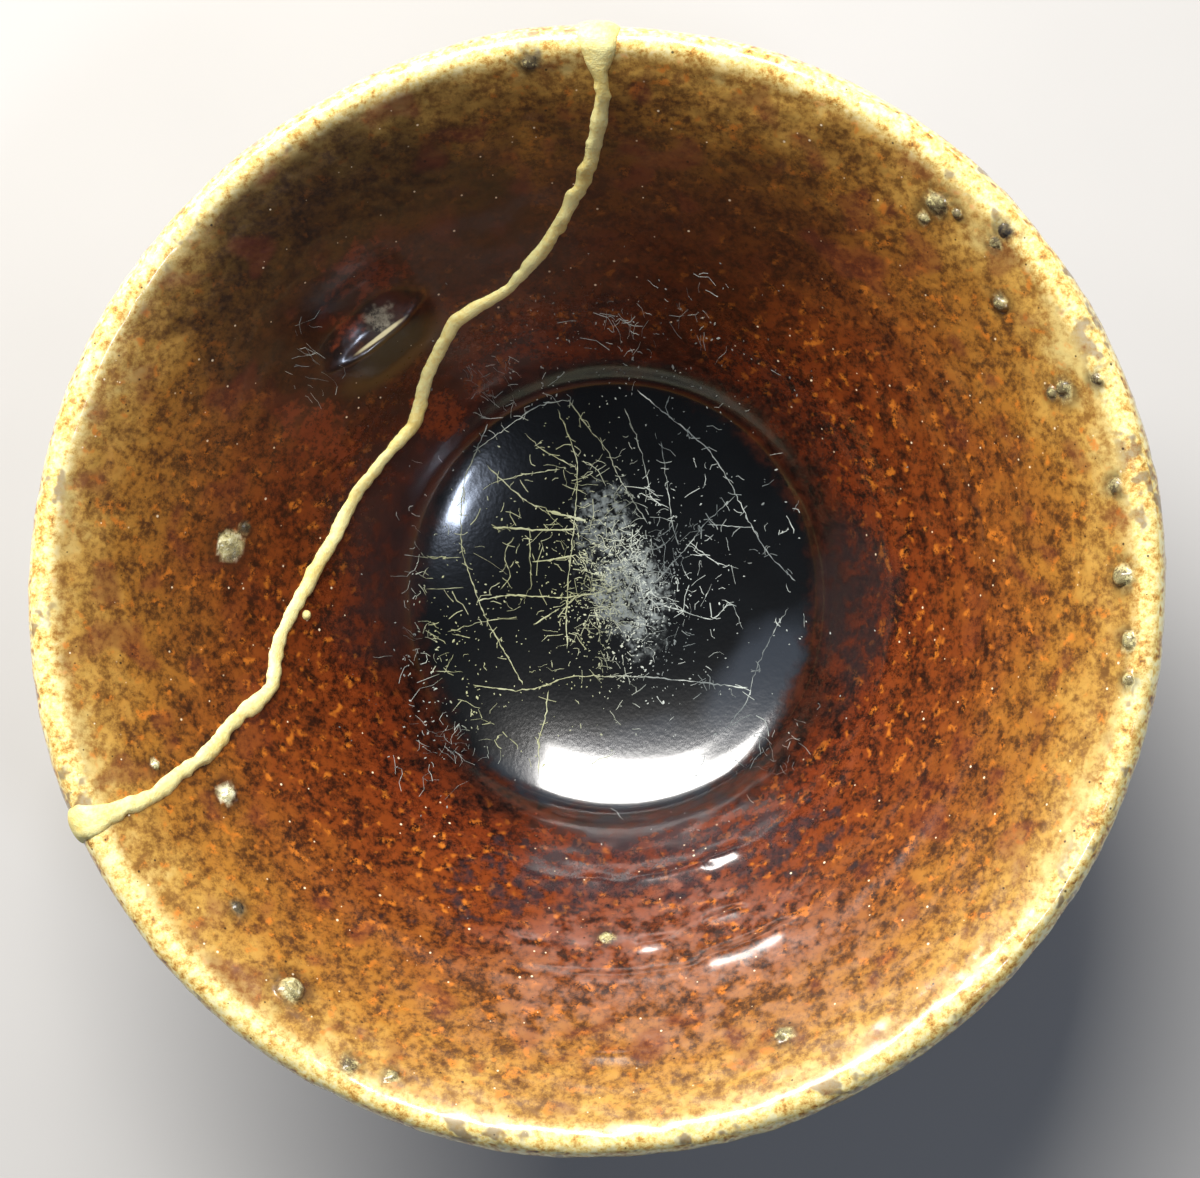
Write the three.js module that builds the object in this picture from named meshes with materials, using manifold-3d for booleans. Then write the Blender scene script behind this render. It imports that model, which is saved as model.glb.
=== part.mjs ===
// A tea bowl of iron-glazed stoneware, broken once at the rim and mended with lacquer and gold.
// The bowl is one thrown form. The sherd that broke out of it sits back in its place, and the
// gold seam fills the break through the wall, covers it inside and outside and wraps over the lip.
// Millimetres, +Z up, standing on its foot at z = 0 with the foot's centre on the Z axis.
// The break lies on the side of -X and +Y.

import * as THREE from 'three';
import { mergeVertices } from 'three/addons/utils/BufferGeometryUtils.js';
import Module from 'manifold-3d';

// Driving dimensions
const RIM_RADIUS = 61;
const BOWL_HEIGHT = 52.5;
const FOOT_RADIUS = 22.6;
const FOOT_HEIGHT = 6.4;
const WELL_RADIUS = 24.5;
const SEAM_WIDTH = 1.9;
const AROUND = 60;

// Inside of the bowl: a dished well, then a steep wall that flares out again at the lip
const FLOOR_HEIGHT = 11.4;
const WELL_EDGE_HEIGHT = 15.6;
const WELL_POWER = 2.6;
const WALL_SLOPE = 1.05;
const WALL_CURVE = 0.0035;
const FLARE_POWER = 8;

// Throwing rings left inside: radius, height and width of each ridge
const THROWING_RINGS = [
  { radius: 33.5, height: 0.35, width: 1.1 },
  { radius: 40.6, height: 0.2, width: 0.8 },
  { radius: 43.9, height: 0.45, width: 1.2 },
];

// Lip: part of an ellipse, from the flared inner wall over the top to the outer wall
const LIP_HALF_THICKNESS = 2.1;
const LIP_HALF_HEIGHT = 2.6;
const LIP_START_DEGREES = 115;

// Outside: an almost straight cone whose glaze ends in a thick roll above the bare foot
const SHOULDER_RADIUS = 25;
const SHOULDER_HEIGHT = 7.2;
const WALL_BULGE = 0.02;
const BULGE_POWER = 1.4;
const GLAZE_END_HEIGHT = 11;
const GLAZE_ROLL = 0.5;
const GLAZE_ROLL_HEIGHT = 1;

// Foot ring, turned underneath to a shallow recess
const FOOT_INNER_RADIUS = 18.6;
const FOOT_RECESS = 3.4;
const FOOT_ROUNDING = 0.7;

// The thrown bowl is a little out of round, and its lip rises and falls
const OUT_OF_ROUND = 0.006;
const LONG_AXIS_DEGREES = 14;
const LIP_WAVE = 0.3;
const LIP_WAVE_DEGREES = 60;

// The break seen from above, from the lip at the back round to the lip at the left
const BREAK_ROUTE = [
  [2.4, 60], [1.6, 57.1], [1.5, 54.4], [0.9, 51.2], [-0.6, 47.5], [-2.7, 44],
  [-5.3, 40.9], [-8.4, 37.8], [-11.7, 35], [-14.6, 33.5], [-17.7, 31.2], [-19.6, 28.1],
  [-21.7, 24.3], [-23.4, 20.1], [-25.8, 17.4], [-28.4, 14], [-30.5, 10.4], [-32.2, 6.4],
  [-34, 2.7], [-36.2, -2.1], [-37.1, -4.3], [-37.6, -6.9], [-38.2, -11.3], [-40.9, -14.1],
  [-42.9, -17.6], [-45.7, -20.3], [-48.3, -22.7], [-51.1, -24.2], [-54.2, -25.2],
];
const ROUTE_OVERSHOOT = 5;

// The break runs through the wall along lines that meet above the bowl, square to the wall
const BREAK_APEX_HEIGHT = 82;
const BREAK_NEAR = 0.8;
const BREAK_FAR = 1.45;
const BREAK_STATIONS = 42;

// The joint in the ceramic, the lacquer in it, and the gold that covers it
const JOINT_HALF_WIDTH = 0.65;
const CLEARANCE = 0.3;
const LACQUER_PROUD = 0.55;
const GOLD_BASE = 0.4;
const GOLD_CROWN = 0.38;
const LEAST_GAP = 0.26;
const SEAM_STATIONS = 46;
const LIP_STATIONS = 5;
const CHIP_AT_BACK = { width: 5.2, reach: 4.5 };
const CHIP_AT_LEFT = { width: 3.8, reach: 5 };
const SEAM_SECTION = [[-1, 0], [1, 0], [0.62, 0.78], [0, 1], [-0.62, 0.78]];
const DROPLET = { x: -35.4, y: -2.4, radius: 0.65, height: 0.75 };

// A shallow dent that a fingertip or another pot left in the soft wall
const DENT = { x: -27.4, y: 31.8, depth: 1.6, ballRadius: 14 };

// Kiln grit fused into the glaze: place seen from above, radius, and how far it stands proud
const GRIT = [
  { x: -42, y: 5.4, radius: 1.5, proud: 0.8 },
  { x: -41.2, y: -22.4, radius: 0.95, proud: 0.6 },
  { x: 37.3, y: 40.8, radius: 1.1, proud: 0.5 },
  { x: 50.5, y: 20.8, radius: 0.9, proud: 0.4 },
  { x: 56.4, y: 1.2, radius: 1, proud: 0.45 },
  { x: -32.3, y: -43.3, radius: 1.2, proud: 0.5 },
];

// Fineness of the balls and of the sums below
const DENT_BALL_SIDES = [26, 24];
const DROPLET_SIDES = [9, 6];
const GRIT_DETAIL = 1;
const MERGE_DISTANCE = 1e-4;
const SLOPE_STEP = 0.01;
const TANGENT_STEP = 0.004;
const HALVINGS = 40;
const END_SHARE = 0.15;

const wasm = await Module();
wasm.setup();

const lipCentreRadius = RIM_RADIUS - LIP_HALF_THICKNESS;
const lipCentreHeight = BOWL_HEIGHT - LIP_HALF_HEIGHT;

// A point of the lip's ellipse: 0 degrees is at the outer wall and 90 on the crest
function lipPoint(degrees) {
  const angle = THREE.MathUtils.degToRad(degrees);
  const radius = lipCentreRadius + LIP_HALF_THICKNESS * Math.cos(angle);
  return new THREE.Vector2(radius, lipCentreHeight + LIP_HALF_HEIGHT * Math.sin(angle));
}

// Where the inner wall meets the lip, and how much the flare takes off the wall's height there
const lipEdge = lipPoint(LIP_START_DEGREES);
const wallRun = lipEdge.x - WELL_RADIUS;
const coneHeight = WELL_EDGE_HEIGHT + WALL_SLOPE * wallRun + WALL_CURVE * wallRun ** 2;
const lipFlare = coneHeight - lipEdge.y;

// Height of the inside surface at a distance from the axis
function insideHeight(radius) {
  if (radius < WELL_RADIUS) {
    const share = radius / WELL_RADIUS;
    return FLOOR_HEIGHT + (WELL_EDGE_HEIGHT - FLOOR_HEIGHT) * share ** WELL_POWER;
  }
  const run = radius - WELL_RADIUS;
  const share = Math.min(run / wallRun, 1);
  let height = WELL_EDGE_HEIGHT + WALL_SLOPE * run + WALL_CURVE * run ** 2;
  height -= lipFlare * share ** FLARE_POWER;
  for (const ring of THROWING_RINGS) {
    height += ring.height * Math.exp(-(((radius - ring.radius) / ring.width) ** 2));
  }
  return height;
}

// Radius of the outside surface at a height above the foot's shoulder
function outsideRadius(height) {
  const share = (height - SHOULDER_HEIGHT) / (lipCentreHeight - SHOULDER_HEIGHT);
  const full = share + WALL_BULGE * Math.sin(Math.PI * share ** BULGE_POWER);
  const roll = Math.exp(-(((height - GLAZE_END_HEIGHT) / GLAZE_ROLL_HEIGHT) ** 2));
  return SHOULDER_RADIUS + (RIM_RADIUS - SHOULDER_RADIUS) * full + GLAZE_ROLL * roll;
}

// The profile of the whole bowl, from the axis underneath out over the foot, up the outside,
// over the lip and down the inside to the axis again
function footPoints() {
  return [
    new THREE.Vector2(0, FOOT_RECESS),
    new THREE.Vector2(FOOT_INNER_RADIUS - FOOT_ROUNDING, FOOT_RECESS),
    new THREE.Vector2(FOOT_INNER_RADIUS, FOOT_ROUNDING),
    new THREE.Vector2(FOOT_INNER_RADIUS + FOOT_ROUNDING, 0),
    new THREE.Vector2(FOOT_RADIUS - FOOT_ROUNDING, 0),
    new THREE.Vector2(FOOT_RADIUS, FOOT_ROUNDING),
    new THREE.Vector2(FOOT_RADIUS, FOOT_HEIGHT - FOOT_ROUNDING),
    new THREE.Vector2(FOOT_RADIUS + FOOT_ROUNDING, FOOT_HEIGHT),
    new THREE.Vector2(SHOULDER_RADIUS, SHOULDER_HEIGHT),
  ];
}

function outsidePoints() {
  const heights = [10.1, 11, 12.2, 14, 22, 32, 42, 49.5];
  return heights.map((height) => new THREE.Vector2(outsideRadius(height), height));
}

function lipPoints() {
  return [0, 32, 62, 90, LIP_START_DEGREES].map(lipPoint);
}

function insidePoints() {
  const upperRadii = [57, 55.5, 53.4, 50, 45.6, 44.7, 43.9, 42.8, 42];
  const wallRadii = [40.6, 39, 35, 33.5, 32, 28.5, WELL_RADIUS];
  const wellRadii = [20.8, 16.8, 12, 0];
  const radii = [...upperRadii, ...wallRadii, ...wellRadii];
  return radii.map((radius) => new THREE.Vector2(radius, insideHeight(radius)));
}

// The profile, moved outwards by grow along its own normals
function grownProfile(points, grow) {
  return points.map((point, index) => {
    const before = points[Math.max(index - 1, 0)];
    const after = points[Math.min(index + 1, points.length - 1)];
    const along = after.clone().sub(before).normalize();
    const radius = point.x > 0 ? point.x + grow * along.y : 0;
    return new THREE.Vector2(radius, point.y - grow * along.x);
  });
}

// Out of round and wavy, more so towards the lip: every piece takes this same small distortion
function throwOffRound(point) {
  const share = THREE.MathUtils.clamp(point.z / BOWL_HEIGHT, 0, 1);
  const angle = Math.atan2(point.y, point.x);
  const longAxis = THREE.MathUtils.degToRad(LONG_AXIS_DEGREES);
  const waveAxis = THREE.MathUtils.degToRad(LIP_WAVE_DEGREES);
  const stretch = 1 + OUT_OF_ROUND * share * Math.cos(2 * (angle - longAxis));
  const lift = LIP_WAVE * share ** 4 * Math.cos(2 * (angle - waveAxis));
  return point.set(point.x * stretch, point.y * stretch, point.z + lift);
}

// Moves every vertex of a geometry by a function of its place
function bend(geometry, move) {
  const places = geometry.getAttribute('position');
  const point = new THREE.Vector3();
  for (let index = 0; index < places.count; index += 1) {
    point.fromBufferAttribute(places, index);
    move(point, index);
    places.setXYZ(index, point.x, point.y, point.z);
  }
  return geometry;
}

// A closed solid from a geometry, with shared vertices merged and empty triangles dropped
function solidFrom(geometry) {
  geometry.deleteAttribute('normal');
  geometry.deleteAttribute('uv');
  const merged = mergeVertices(geometry, MERGE_DISTANCE);
  const corners = merged.index.array;
  const kept = [];
  for (let start = 0; start < corners.length; start += 3) {
    const [a, b, c] = corners.slice(start, start + 3);
    if (a !== b && b !== c && c !== a) kept.push(a, b, c);
  }
  const vertProperties = new Float32Array(merged.getAttribute('position').array);
  const triVerts = new Uint32Array(kept);
  return new wasm.Manifold(new wasm.Mesh({ numProp: 3, vertProperties, triVerts }));
}

function meshFrom(solid, name, material) {
  const { vertProperties, triVerts } = solid.getMesh();
  const geometry = new THREE.BufferGeometry();
  geometry.setAttribute('position', new THREE.BufferAttribute(vertProperties, 3));
  geometry.setIndex(new THREE.BufferAttribute(triVerts, 1));
  geometry.computeVertexNormals();
  const mesh = new THREE.Mesh(geometry, material);
  mesh.name = name;
  return mesh;
}

// The whole thrown bowl, with all its surfaces moved outwards by grow
function bowlSolid(grow) {
  const outline = [...footPoints(), ...outsidePoints(), ...lipPoints(), ...insidePoints()];
  const lathe = new THREE.LatheGeometry(grownProfile(outline, grow), AROUND);
  lathe.rotateX(Math.PI / 2);
  return solidFrom(bend(lathe, throwOffRound));
}

// Where a smooth rising or falling value passes a target, found by halving
function solveFor(target, value, low, high) {
  const rising = value(high) > value(low);
  let [bottom, top] = [low, high];
  for (let step = 0; step < HALVINGS; step += 1) {
    const middle = (bottom + top) / 2;
    if (value(middle) < target === rising) bottom = middle;
    else top = middle;
  }
  return (bottom + top) / 2;
}

// A point of the wall with its outward normal, both given in the profile's plane, at an azimuth
function onWall(profilePoint, profileNormal, azimuth) {
  const around = new THREE.Vector3(Math.cos(azimuth), Math.sin(azimuth), 0);
  const lift = (flat) => around.clone().multiplyScalar(flat.x).setZ(flat.y);
  return { point: lift(profilePoint), normal: lift(profileNormal).normalize() };
}

function onInside(radius, azimuth) {
  const climb = insideHeight(radius + SLOPE_STEP) - insideHeight(radius - SLOPE_STEP);
  const rise = climb / (2 * SLOPE_STEP);
  const place = new THREE.Vector2(radius, insideHeight(radius));
  return onWall(place, new THREE.Vector2(-rise, 1), azimuth);
}

function onOutside(height, azimuth) {
  const flare = outsideRadius(height + SLOPE_STEP) - outsideRadius(height - SLOPE_STEP);
  const spread = flare / (2 * SLOPE_STEP);
  const place = new THREE.Vector2(outsideRadius(height), height);
  return onWall(place, new THREE.Vector2(1, -spread), azimuth);
}

function onLip(degrees, azimuth) {
  const angle = THREE.MathUtils.degToRad(degrees);
  const across = Math.cos(angle) / LIP_HALF_THICKNESS;
  const up = Math.sin(angle) / LIP_HALF_HEIGHT;
  return onWall(lipPoint(degrees), new THREE.Vector2(across, up), azimuth);
}

// The break's route seen from above, carried on straight past the lip at both ends
function breakCurve() {
  const points = BREAK_ROUTE.map(([x, y]) => new THREE.Vector3(x, y, 0));
  const beyond = (end, next) => end.clone().sub(next).setLength(ROUTE_OVERSHOOT).add(end);
  const first = beyond(points[0], points[1]);
  const last = beyond(points.at(-1), points.at(-2));
  return new THREE.CatmullRomCurve3([first, ...points, last], false, 'centripetal');
}

const route = breakCurve();

function routeAt(share) {
  const place = route.getPointAt(share);
  return { radius: Math.hypot(place.x, place.y), azimuth: Math.atan2(place.y, place.x) };
}

// Slope of the line from the break's apex on the axis down to a point of the profile
function apexSlope(radius, height) {
  return (BREAK_APEX_HEIGHT - height) / radius;
}

function routeSlope(share) {
  const { radius } = routeAt(share);
  return apexSlope(radius, insideHeight(radius));
}

// Width of the gold at a place on the route: it spreads over the chip at each end
function goldWidth(share) {
  const { radius } = routeAt(share);
  const chip = share < 0.5 ? CHIP_AT_BACK : CHIP_AT_LEFT;
  const spread = THREE.MathUtils.smoothstep(radius, RIM_RADIUS - chip.reach, RIM_RADIUS - 0.5);
  return SEAM_WIDTH + (chip.width - SEAM_WIDTH) * spread;
}

// A wedge along the break, through the wall from inside to outside
function breakWedge(halfWidth) {
  const apex = new THREE.Vector3(0, 0, BREAK_APEX_HEIGHT);
  const placeAt = (share) => {
    const { radius, azimuth } = routeAt(THREE.MathUtils.clamp(share, 0, 1));
    return onInside(radius, azimuth);
  };
  const wedge = new THREE.BoxGeometry(1, 1, 1, BREAK_STATIONS, 1, 1);
  const sideOf = (share) => {
    const along = placeAt(share + TANGENT_STEP).point.sub(placeAt(share - TANGENT_STEP).point);
    return along.cross(placeAt(share).normal).normalize();
  };
  bend(wedge, (corner) => {
    const share = corner.x + 0.5;
    const reach = corner.z < 0 ? BREAK_NEAR : BREAK_FAR;
    const spread = (goldWidth(share) - SEAM_WIDTH) / 2 + halfWidth;
    const side = sideOf(share).multiplyScalar(Math.sign(corner.y) * spread);
    const place = placeAt(share).point.add(side).sub(apex).multiplyScalar(reach);
    corner.copy(place.add(apex));
  });
  return solidFrom(bend(wedge, throwOffRound));
}

// Stations of the gold all round the break: along the inside, over the lip at the left,
// back along the outside and over the lip at the back
function seamLoop() {
  const edgeSlope = apexSlope(lipEdge.x, lipEdge.y);
  const backEnd = solveFor(edgeSlope, routeSlope, 0, END_SHARE);
  const leftEnd = solveFor(edgeSlope, routeSlope, 1 - END_SHARE, 1);
  const insideStation = (share) => {
    const { radius, azimuth } = routeAt(share);
    return { ...onInside(radius, azimuth), width: goldWidth(share) };
  };
  const outsideStation = (share) => {
    const slopeAt = (height) => apexSlope(outsideRadius(height), height);
    const height = solveFor(routeSlope(share), slopeAt, SHOULDER_HEIGHT, lipCentreHeight);
    return { ...onOutside(height, routeAt(share).azimuth), width: goldWidth(share) };
  };
  const lipStation = (degrees, low, high) => {
    const place = lipPoint(degrees);
    const share = solveFor(apexSlope(place.x, place.y), routeSlope, low, high);
    return { ...onLip(degrees, routeAt(share).azimuth), width: goldWidth(share) };
  };
  const spanAt = (index) => backEnd + ((leftEnd - backEnd) * index) / SEAM_STATIONS;
  const lipAt = (index) => LIP_START_DEGREES * (1 - (index + 1) / (LIP_STATIONS + 1));
  const stations = [];
  for (let index = 0; index <= SEAM_STATIONS; index += 1) {
    stations.push(insideStation(spanAt(index)));
  }
  for (let index = 0; index < LIP_STATIONS; index += 1) {
    stations.push(lipStation(lipAt(index), 1 - END_SHARE, 1));
  }
  for (let index = SEAM_STATIONS; index >= 0; index -= 1) {
    stations.push(outsideStation(spanAt(index)));
  }
  for (let index = LIP_STATIONS - 1; index >= 0; index -= 1) {
    stations.push(lipStation(lipAt(index), 0, END_SHARE));
  }
  return stations;
}

// The raised gold: a ring bent round the loop, with a flat underside and a crowned top
function goldBead() {
  const stations = seamLoop();
  const count = stations.length;
  const ring = new THREE.TorusGeometry(1, 0.5, SEAM_SECTION.length, count);
  const around = ring.getAttribute('uv');
  bend(ring, (corner, index) => {
    const turn = Math.round(around.getX(index) * count) % count;
    const sectionTurn = Math.round(around.getY(index) * SEAM_SECTION.length);
    const [across, up] = SEAM_SECTION[sectionTurn % SEAM_SECTION.length];
    const here = stations[turn];
    const next = stations[(turn + 1) % count];
    const last = stations[(turn + count - 1) % count];
    const along = next.point.clone().sub(last.point);
    const side = along.cross(here.normal).setLength((across * here.width) / 2);
    const height = GOLD_BASE + GOLD_CROWN * up;
    corner.copy(here.point).add(side).addScaledVector(here.normal, height);
  });
  return solidFrom(bend(ring, throwOffRound)).subtract(bowlSolid(LEAST_GAP));
}

// A ball turned so that its own Z axis stands on the inside wall, sunk or raised along it
function ballOnInside(ball, x, y, lift) {
  const place = onInside(Math.hypot(x, y), Math.atan2(y, x));
  const upright = new THREE.Vector3(0, 0, 1);
  ball.applyQuaternion(new THREE.Quaternion().setFromUnitVectors(upright, place.normal));
  const centre = place.point.addScaledVector(place.normal, lift);
  ball.translate(centre.x, centre.y, centre.z);
  return solidFrom(bend(ball, throwOffRound));
}

function dentSolid() {
  const ball = new THREE.SphereGeometry(DENT.ballRadius, ...DENT_BALL_SIDES);
  ball.rotateX(Math.PI / 2);
  return ballOnInside(ball, DENT.x, DENT.y, DENT.ballRadius - DENT.depth);
}

function gritSolid(grain) {
  const ball = new THREE.IcosahedronGeometry(grain.radius, GRIT_DETAIL);
  return ballOnInside(ball, grain.x, grain.y, grain.proud - grain.radius);
}

function dropletSolid() {
  const ball = new THREE.SphereGeometry(DROPLET.radius, ...DROPLET_SIDES);
  ball.scale(1, 1, DROPLET.height / (2 * DROPLET.radius));
  return ballOnInside(ball, DROPLET.x, DROPLET.y, GOLD_BASE + DROPLET.height / 2);
}

// The bowl as it was fired, then broken in two along the joint
function ceramicPieces() {
  let fired = bowlSolid(0).subtract(dentSolid());
  for (const grain of GRIT) fired = fired.add(gritSolid(grain));
  const broken = fired.subtract(breakWedge(JOINT_HALF_WIDTH)).decompose();
  return broken.sort((one, other) => other.volume() - one.volume());
}

function seamSolid() {
  const lacquer = breakWedge(JOINT_HALF_WIDTH - CLEARANCE).intersect(bowlSolid(LACQUER_PROUD));
  return lacquer.add(goldBead()).add(dropletSolid());
}

const ironGlaze = new THREE.MeshStandardMaterial({ color: 0x4a2412, roughness: 0.22 });
const sherdGlaze = new THREE.MeshStandardMaterial({ color: 0x5a3216, roughness: 0.25 });
const gold = new THREE.MeshStandardMaterial({ color: 0xe6cf85, roughness: 0.38, metalness: 1 });

const [body, sherd] = ceramicPieces();
const kintsugiBowl = new THREE.Group();
kintsugiBowl.add(meshFrom(body, 'bowl_body', ironGlaze));
kintsugiBowl.add(meshFrom(sherd, 'rim_sherd', sherdGlaze));
kintsugiBowl.add(meshFrom(seamSolid(), 'gold_seam', gold));

export default kintsugiBowl;
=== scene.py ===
# The looks of the mended tea bowl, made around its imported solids.
# Lengths below are in the bowl's own millimetres; mm turns them into metres of the frame.
# The inside of the bowl faces up. Image right is +X and image top is +Y.

import functools
import math

import bmesh
import bpy
import numpy as np
from mathutils import Matrix, Vector, kdtree


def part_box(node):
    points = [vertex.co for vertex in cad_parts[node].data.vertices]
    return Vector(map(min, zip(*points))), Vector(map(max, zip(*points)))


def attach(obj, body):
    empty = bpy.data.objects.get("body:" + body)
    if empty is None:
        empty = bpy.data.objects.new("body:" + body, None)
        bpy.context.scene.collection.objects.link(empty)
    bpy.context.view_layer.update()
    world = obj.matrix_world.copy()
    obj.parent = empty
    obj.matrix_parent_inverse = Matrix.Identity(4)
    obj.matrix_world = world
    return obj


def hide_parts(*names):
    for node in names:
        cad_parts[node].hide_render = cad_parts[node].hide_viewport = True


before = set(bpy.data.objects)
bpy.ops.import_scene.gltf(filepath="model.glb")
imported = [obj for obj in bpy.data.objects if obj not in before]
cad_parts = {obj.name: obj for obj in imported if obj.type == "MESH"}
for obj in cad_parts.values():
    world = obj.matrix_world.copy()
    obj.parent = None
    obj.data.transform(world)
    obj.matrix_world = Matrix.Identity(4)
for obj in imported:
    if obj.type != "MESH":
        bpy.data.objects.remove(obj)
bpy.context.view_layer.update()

# Driving dimensions, the same as the solids'
RIM_RADIUS = 61
BOWL_HEIGHT = 52.5
FOOT_RADIUS = 22.6
FOOT_HEIGHT = 6.4
WELL_RADIUS = 24.5
SEAM_WIDTH = 1.9
FLOOR_HEIGHT = 11.4
WELL_EDGE_HEIGHT = 15.6
WELL_POWER = 2.6
WALL_SLOPE = 1.05
WALL_CURVE = 0.0035
FLARE_POWER = 8
LIP_HALF_THICKNESS = 2.1
LIP_HALF_HEIGHT = 2.6
LIP_START = math.radians(115)
SHOULDER_RADIUS = 25
SHOULDER_HEIGHT = 7.2
WALL_BULGE = 0.02
BULGE_POWER = 1.4
GLAZE_END_HEIGHT = 11
GLAZE_ROLL = 0.5
GLAZE_ROLL_HEIGHT = 1
FOOT_INNER_RADIUS = 18.6
FOOT_RECESS = 3.4
FOOT_ROUNDING = 0.7
OUT_OF_ROUND = 0.006
LONG_AXIS = math.radians(14)
LIP_WAVE = 0.3
LIP_WAVE_AXIS = math.radians(60)
BREAK_APEX_HEIGHT = 82
BREAK_NEAR = 0.8
BREAK_FAR = 1.45

# Radius, height and width of each ridge that the potter's fingers left inside,
# and the side where the glaze has nearly filled them
THROWING_RINGS = [(33.5, 0.35, 1.1), (40.6, 0.2, 0.8), (43.9, 0.45, 1.2)]
RINGS_FADE_AZIMUTH = math.radians(140)
RINGS_FADE_NEAR, RINGS_FADE_FAR = 1.1, 1.9
RINGS_FADE_SHARE = 0.7

# Radius, azimuth, reach, height and width of each sharp crest on them
RING_CRESTS = [
    (33.2, -81, 0.3, 0.3, 0.4), (33.3, -66, 0.08, 0.46, 0.6), (39.4, -69, 0.07, 0.5, 0.55),
    (40.4, -81, 0.06, 0.44, 0.5), (43.3, -85, 0.2, 0.34, 0.4), (43.1, -67, 0.15, 0.64, 0.66),
    (50.9, -87, 0.1, 0.34, 0.4),
]

# The trough round the edge of the pool, deepest at the top and bottom of the image
POOL_LIP = 0.5
POOL_LIP_RADIUS = 25.4
POOL_LIP_WIDTH = 1.5

# The groove at the right below the lip: radius, azimuth, how far to each side of that it runs
# at full depth and in all, width, depth
GROOVE = (50.8, -0.28, 0.16, 0.26, 0.22, 0.12)

# Unevenness of the fired surface: height, length and the seed of its pattern,
# and between which radii or angles some of it grows
SWELL = (0.08, 26, 1)
RIPPLE = (0.02, 9, 2)
DRAWN_LINES = (0.016, 4.2, 3)
OUTSIDE_FURROWS = (0.09, 7, 4)
GRANULES = (0.035, 2.6, 5)
FINE_RIPPLE = (0.02, 3.4, 6)
ROLL_WANDER = (1.6, 22, 7)
CREST_BREAKS = (1, 5, 8)
ROLL_RISE = 0.35
ROLL_WIDTH = 1.1
WALL_FROM, GRANULES_FROM, LOWER_SIDE_FROM = (25, 34), (42, 56), (1.2, 2)

# The break seen from above, from the lip at the back round to the lip at the left
BREAK_ROUTE = [
    (2.4, 60), (1.6, 57.1), (1.5, 54.4), (0.9, 51.2), (-0.6, 47.5), (-2.7, 44),
    (-5.3, 40.9), (-8.4, 37.8), (-11.7, 35), (-14.6, 33.5), (-17.7, 31.2), (-19.6, 28.1),
    (-21.7, 24.3), (-23.4, 20.1), (-25.8, 17.4), (-28.4, 14), (-30.5, 10.4), (-32.2, 6.4),
    (-34, 2.7), (-36.2, -2.1), (-37.1, -4.3), (-37.6, -6.9), (-38.2, -11.3), (-40.9, -14.1),
    (-42.9, -17.6), (-45.7, -20.3), (-48.3, -22.7), (-51.1, -24.2), (-54.2, -25.2),
]
ROUTE_OVERSHOOT = 5

# Fineness of the meshes and of the profile line, and how far its corners are softened
INSIDE_POINTS, LIP_POINTS, OUTSIDE_POINTS, FOOT_POINTS = 1600, 160, 1100, 900
WELL_SOFTNESS = 1.8
FOOT_SOFTNESS = 14
COLUMNS = 400
INSIDE_STEP = 0.5
LIP_STEP = 0.45
OUTSIDE_STEP = 0.85
FOOT_STEP = 0.5
RECESS_STEP = 1.6
SEAM_STEP = 0.28
SEAM_SECTION = 15

# The joint and the gold in the fine meshes, how much wider they are at each chip in the lip,
# and how uneven the gold's edges and top are: amount, length and the seed of the pattern
JOINT_HALF_WIDTH = 0.3
WEB_HALF_WIDTH = 0.24
GOLD_HEIGHT = 0.55
GOLD_SUNK = 0.14
GOLD_ROOT = 0.308
CHIP_REACH = 4.5
BACK_CHIP, LEFT_CHIP = 1.65, 0.95
BACK_SPREAD, LEFT_SPREAD = (0.9, 1.9), (0.8, 1.3)
BACK_OR_LEFT = math.radians(150)
RAGGED_RIGHT = [(0.1, 7, 11), (0.08, 2.4, 12), (0.035, 1, 18)]
RAGGED_LEFT = [(0.1, 6, 13), (0.08, 2.1, 14), (0.035, 1, 19)]
RAGGED_TOP = [(0.16, 9, 15), (0.08, 3, 16)]

# The inside within this radius is painted as the pool
POOL_ZONE_RADIUS = 29.5

# Scratches and flecks: how far they stand out and reach, and the ranges they are drawn from
MARK_PROUD = 0.03
MARK_SUNK = 0.012
MARK_REACH = 46
SCRATCH_STEP, SCRATCH_SHAKE = 0.45, 0.05
SCRATCH_WIDTHS, SCRATCH_END = (0.35, 1.1), 0.2
BRANCH_EVERY, BRANCH_LENGTHS, BRANCH_HALF_WIDTH = 5, (0.6, 2), 0.05
TWIG_HEADINGS = [0, 1.2, 2.1, 2.7]
TWIG_WIDTHS, TWIG_TAPER, BEYOND_POOL_SHARE = (0.03, 0.075), (0.5, 1.2), 0.55
FLECK_SIZE, FLECK_SHAPE = (-2.35, 0.35), (0.3, 0.85, 0.35)

# The dent: a sharp ridge below a hollow in the wall, all measured from the ridge
DENT_AZIMUTH = math.radians(130.8)
DENT_RIDGE_RADIUS = 39.1
DENT_DEPTH = 1.05
DENT_DEEPEST, DENT_TOP = 4.4, 13
DENT_RIDGE = 0.95
DENT_FACET = 4.2
DENT_BEND, DENT_TILT = 0.03, 0.04
DENT_FULL, DENT_END = 2, 8

# A patch of colour goes right through the wall, this far up and down
BLOB_DEPTH = 1e6

# The camera that the photo was taken with, and the lights, in the bowl's millimetres,
# and the floor in metres
CAMERA_PLACE, CAMERA_TARGET = (27.8, -7.8, 342.5), (1.46, -0.07, 50.5)
SENSOR_WIDTH, LENS = 36, 82.2
KEY_AZIMUTH, KEY_ELEVATION = math.radians(110.5), math.radians(45)
KEY_DISTANCE = 620
LIGHT_TARGET_HEIGHT = 40
WORLD_COLOUR, WORLD_STRENGTH = (0.5, 0.52, 0.56, 1), 0.075
FLOOR_HALF_WIDTH = 0.9

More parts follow.
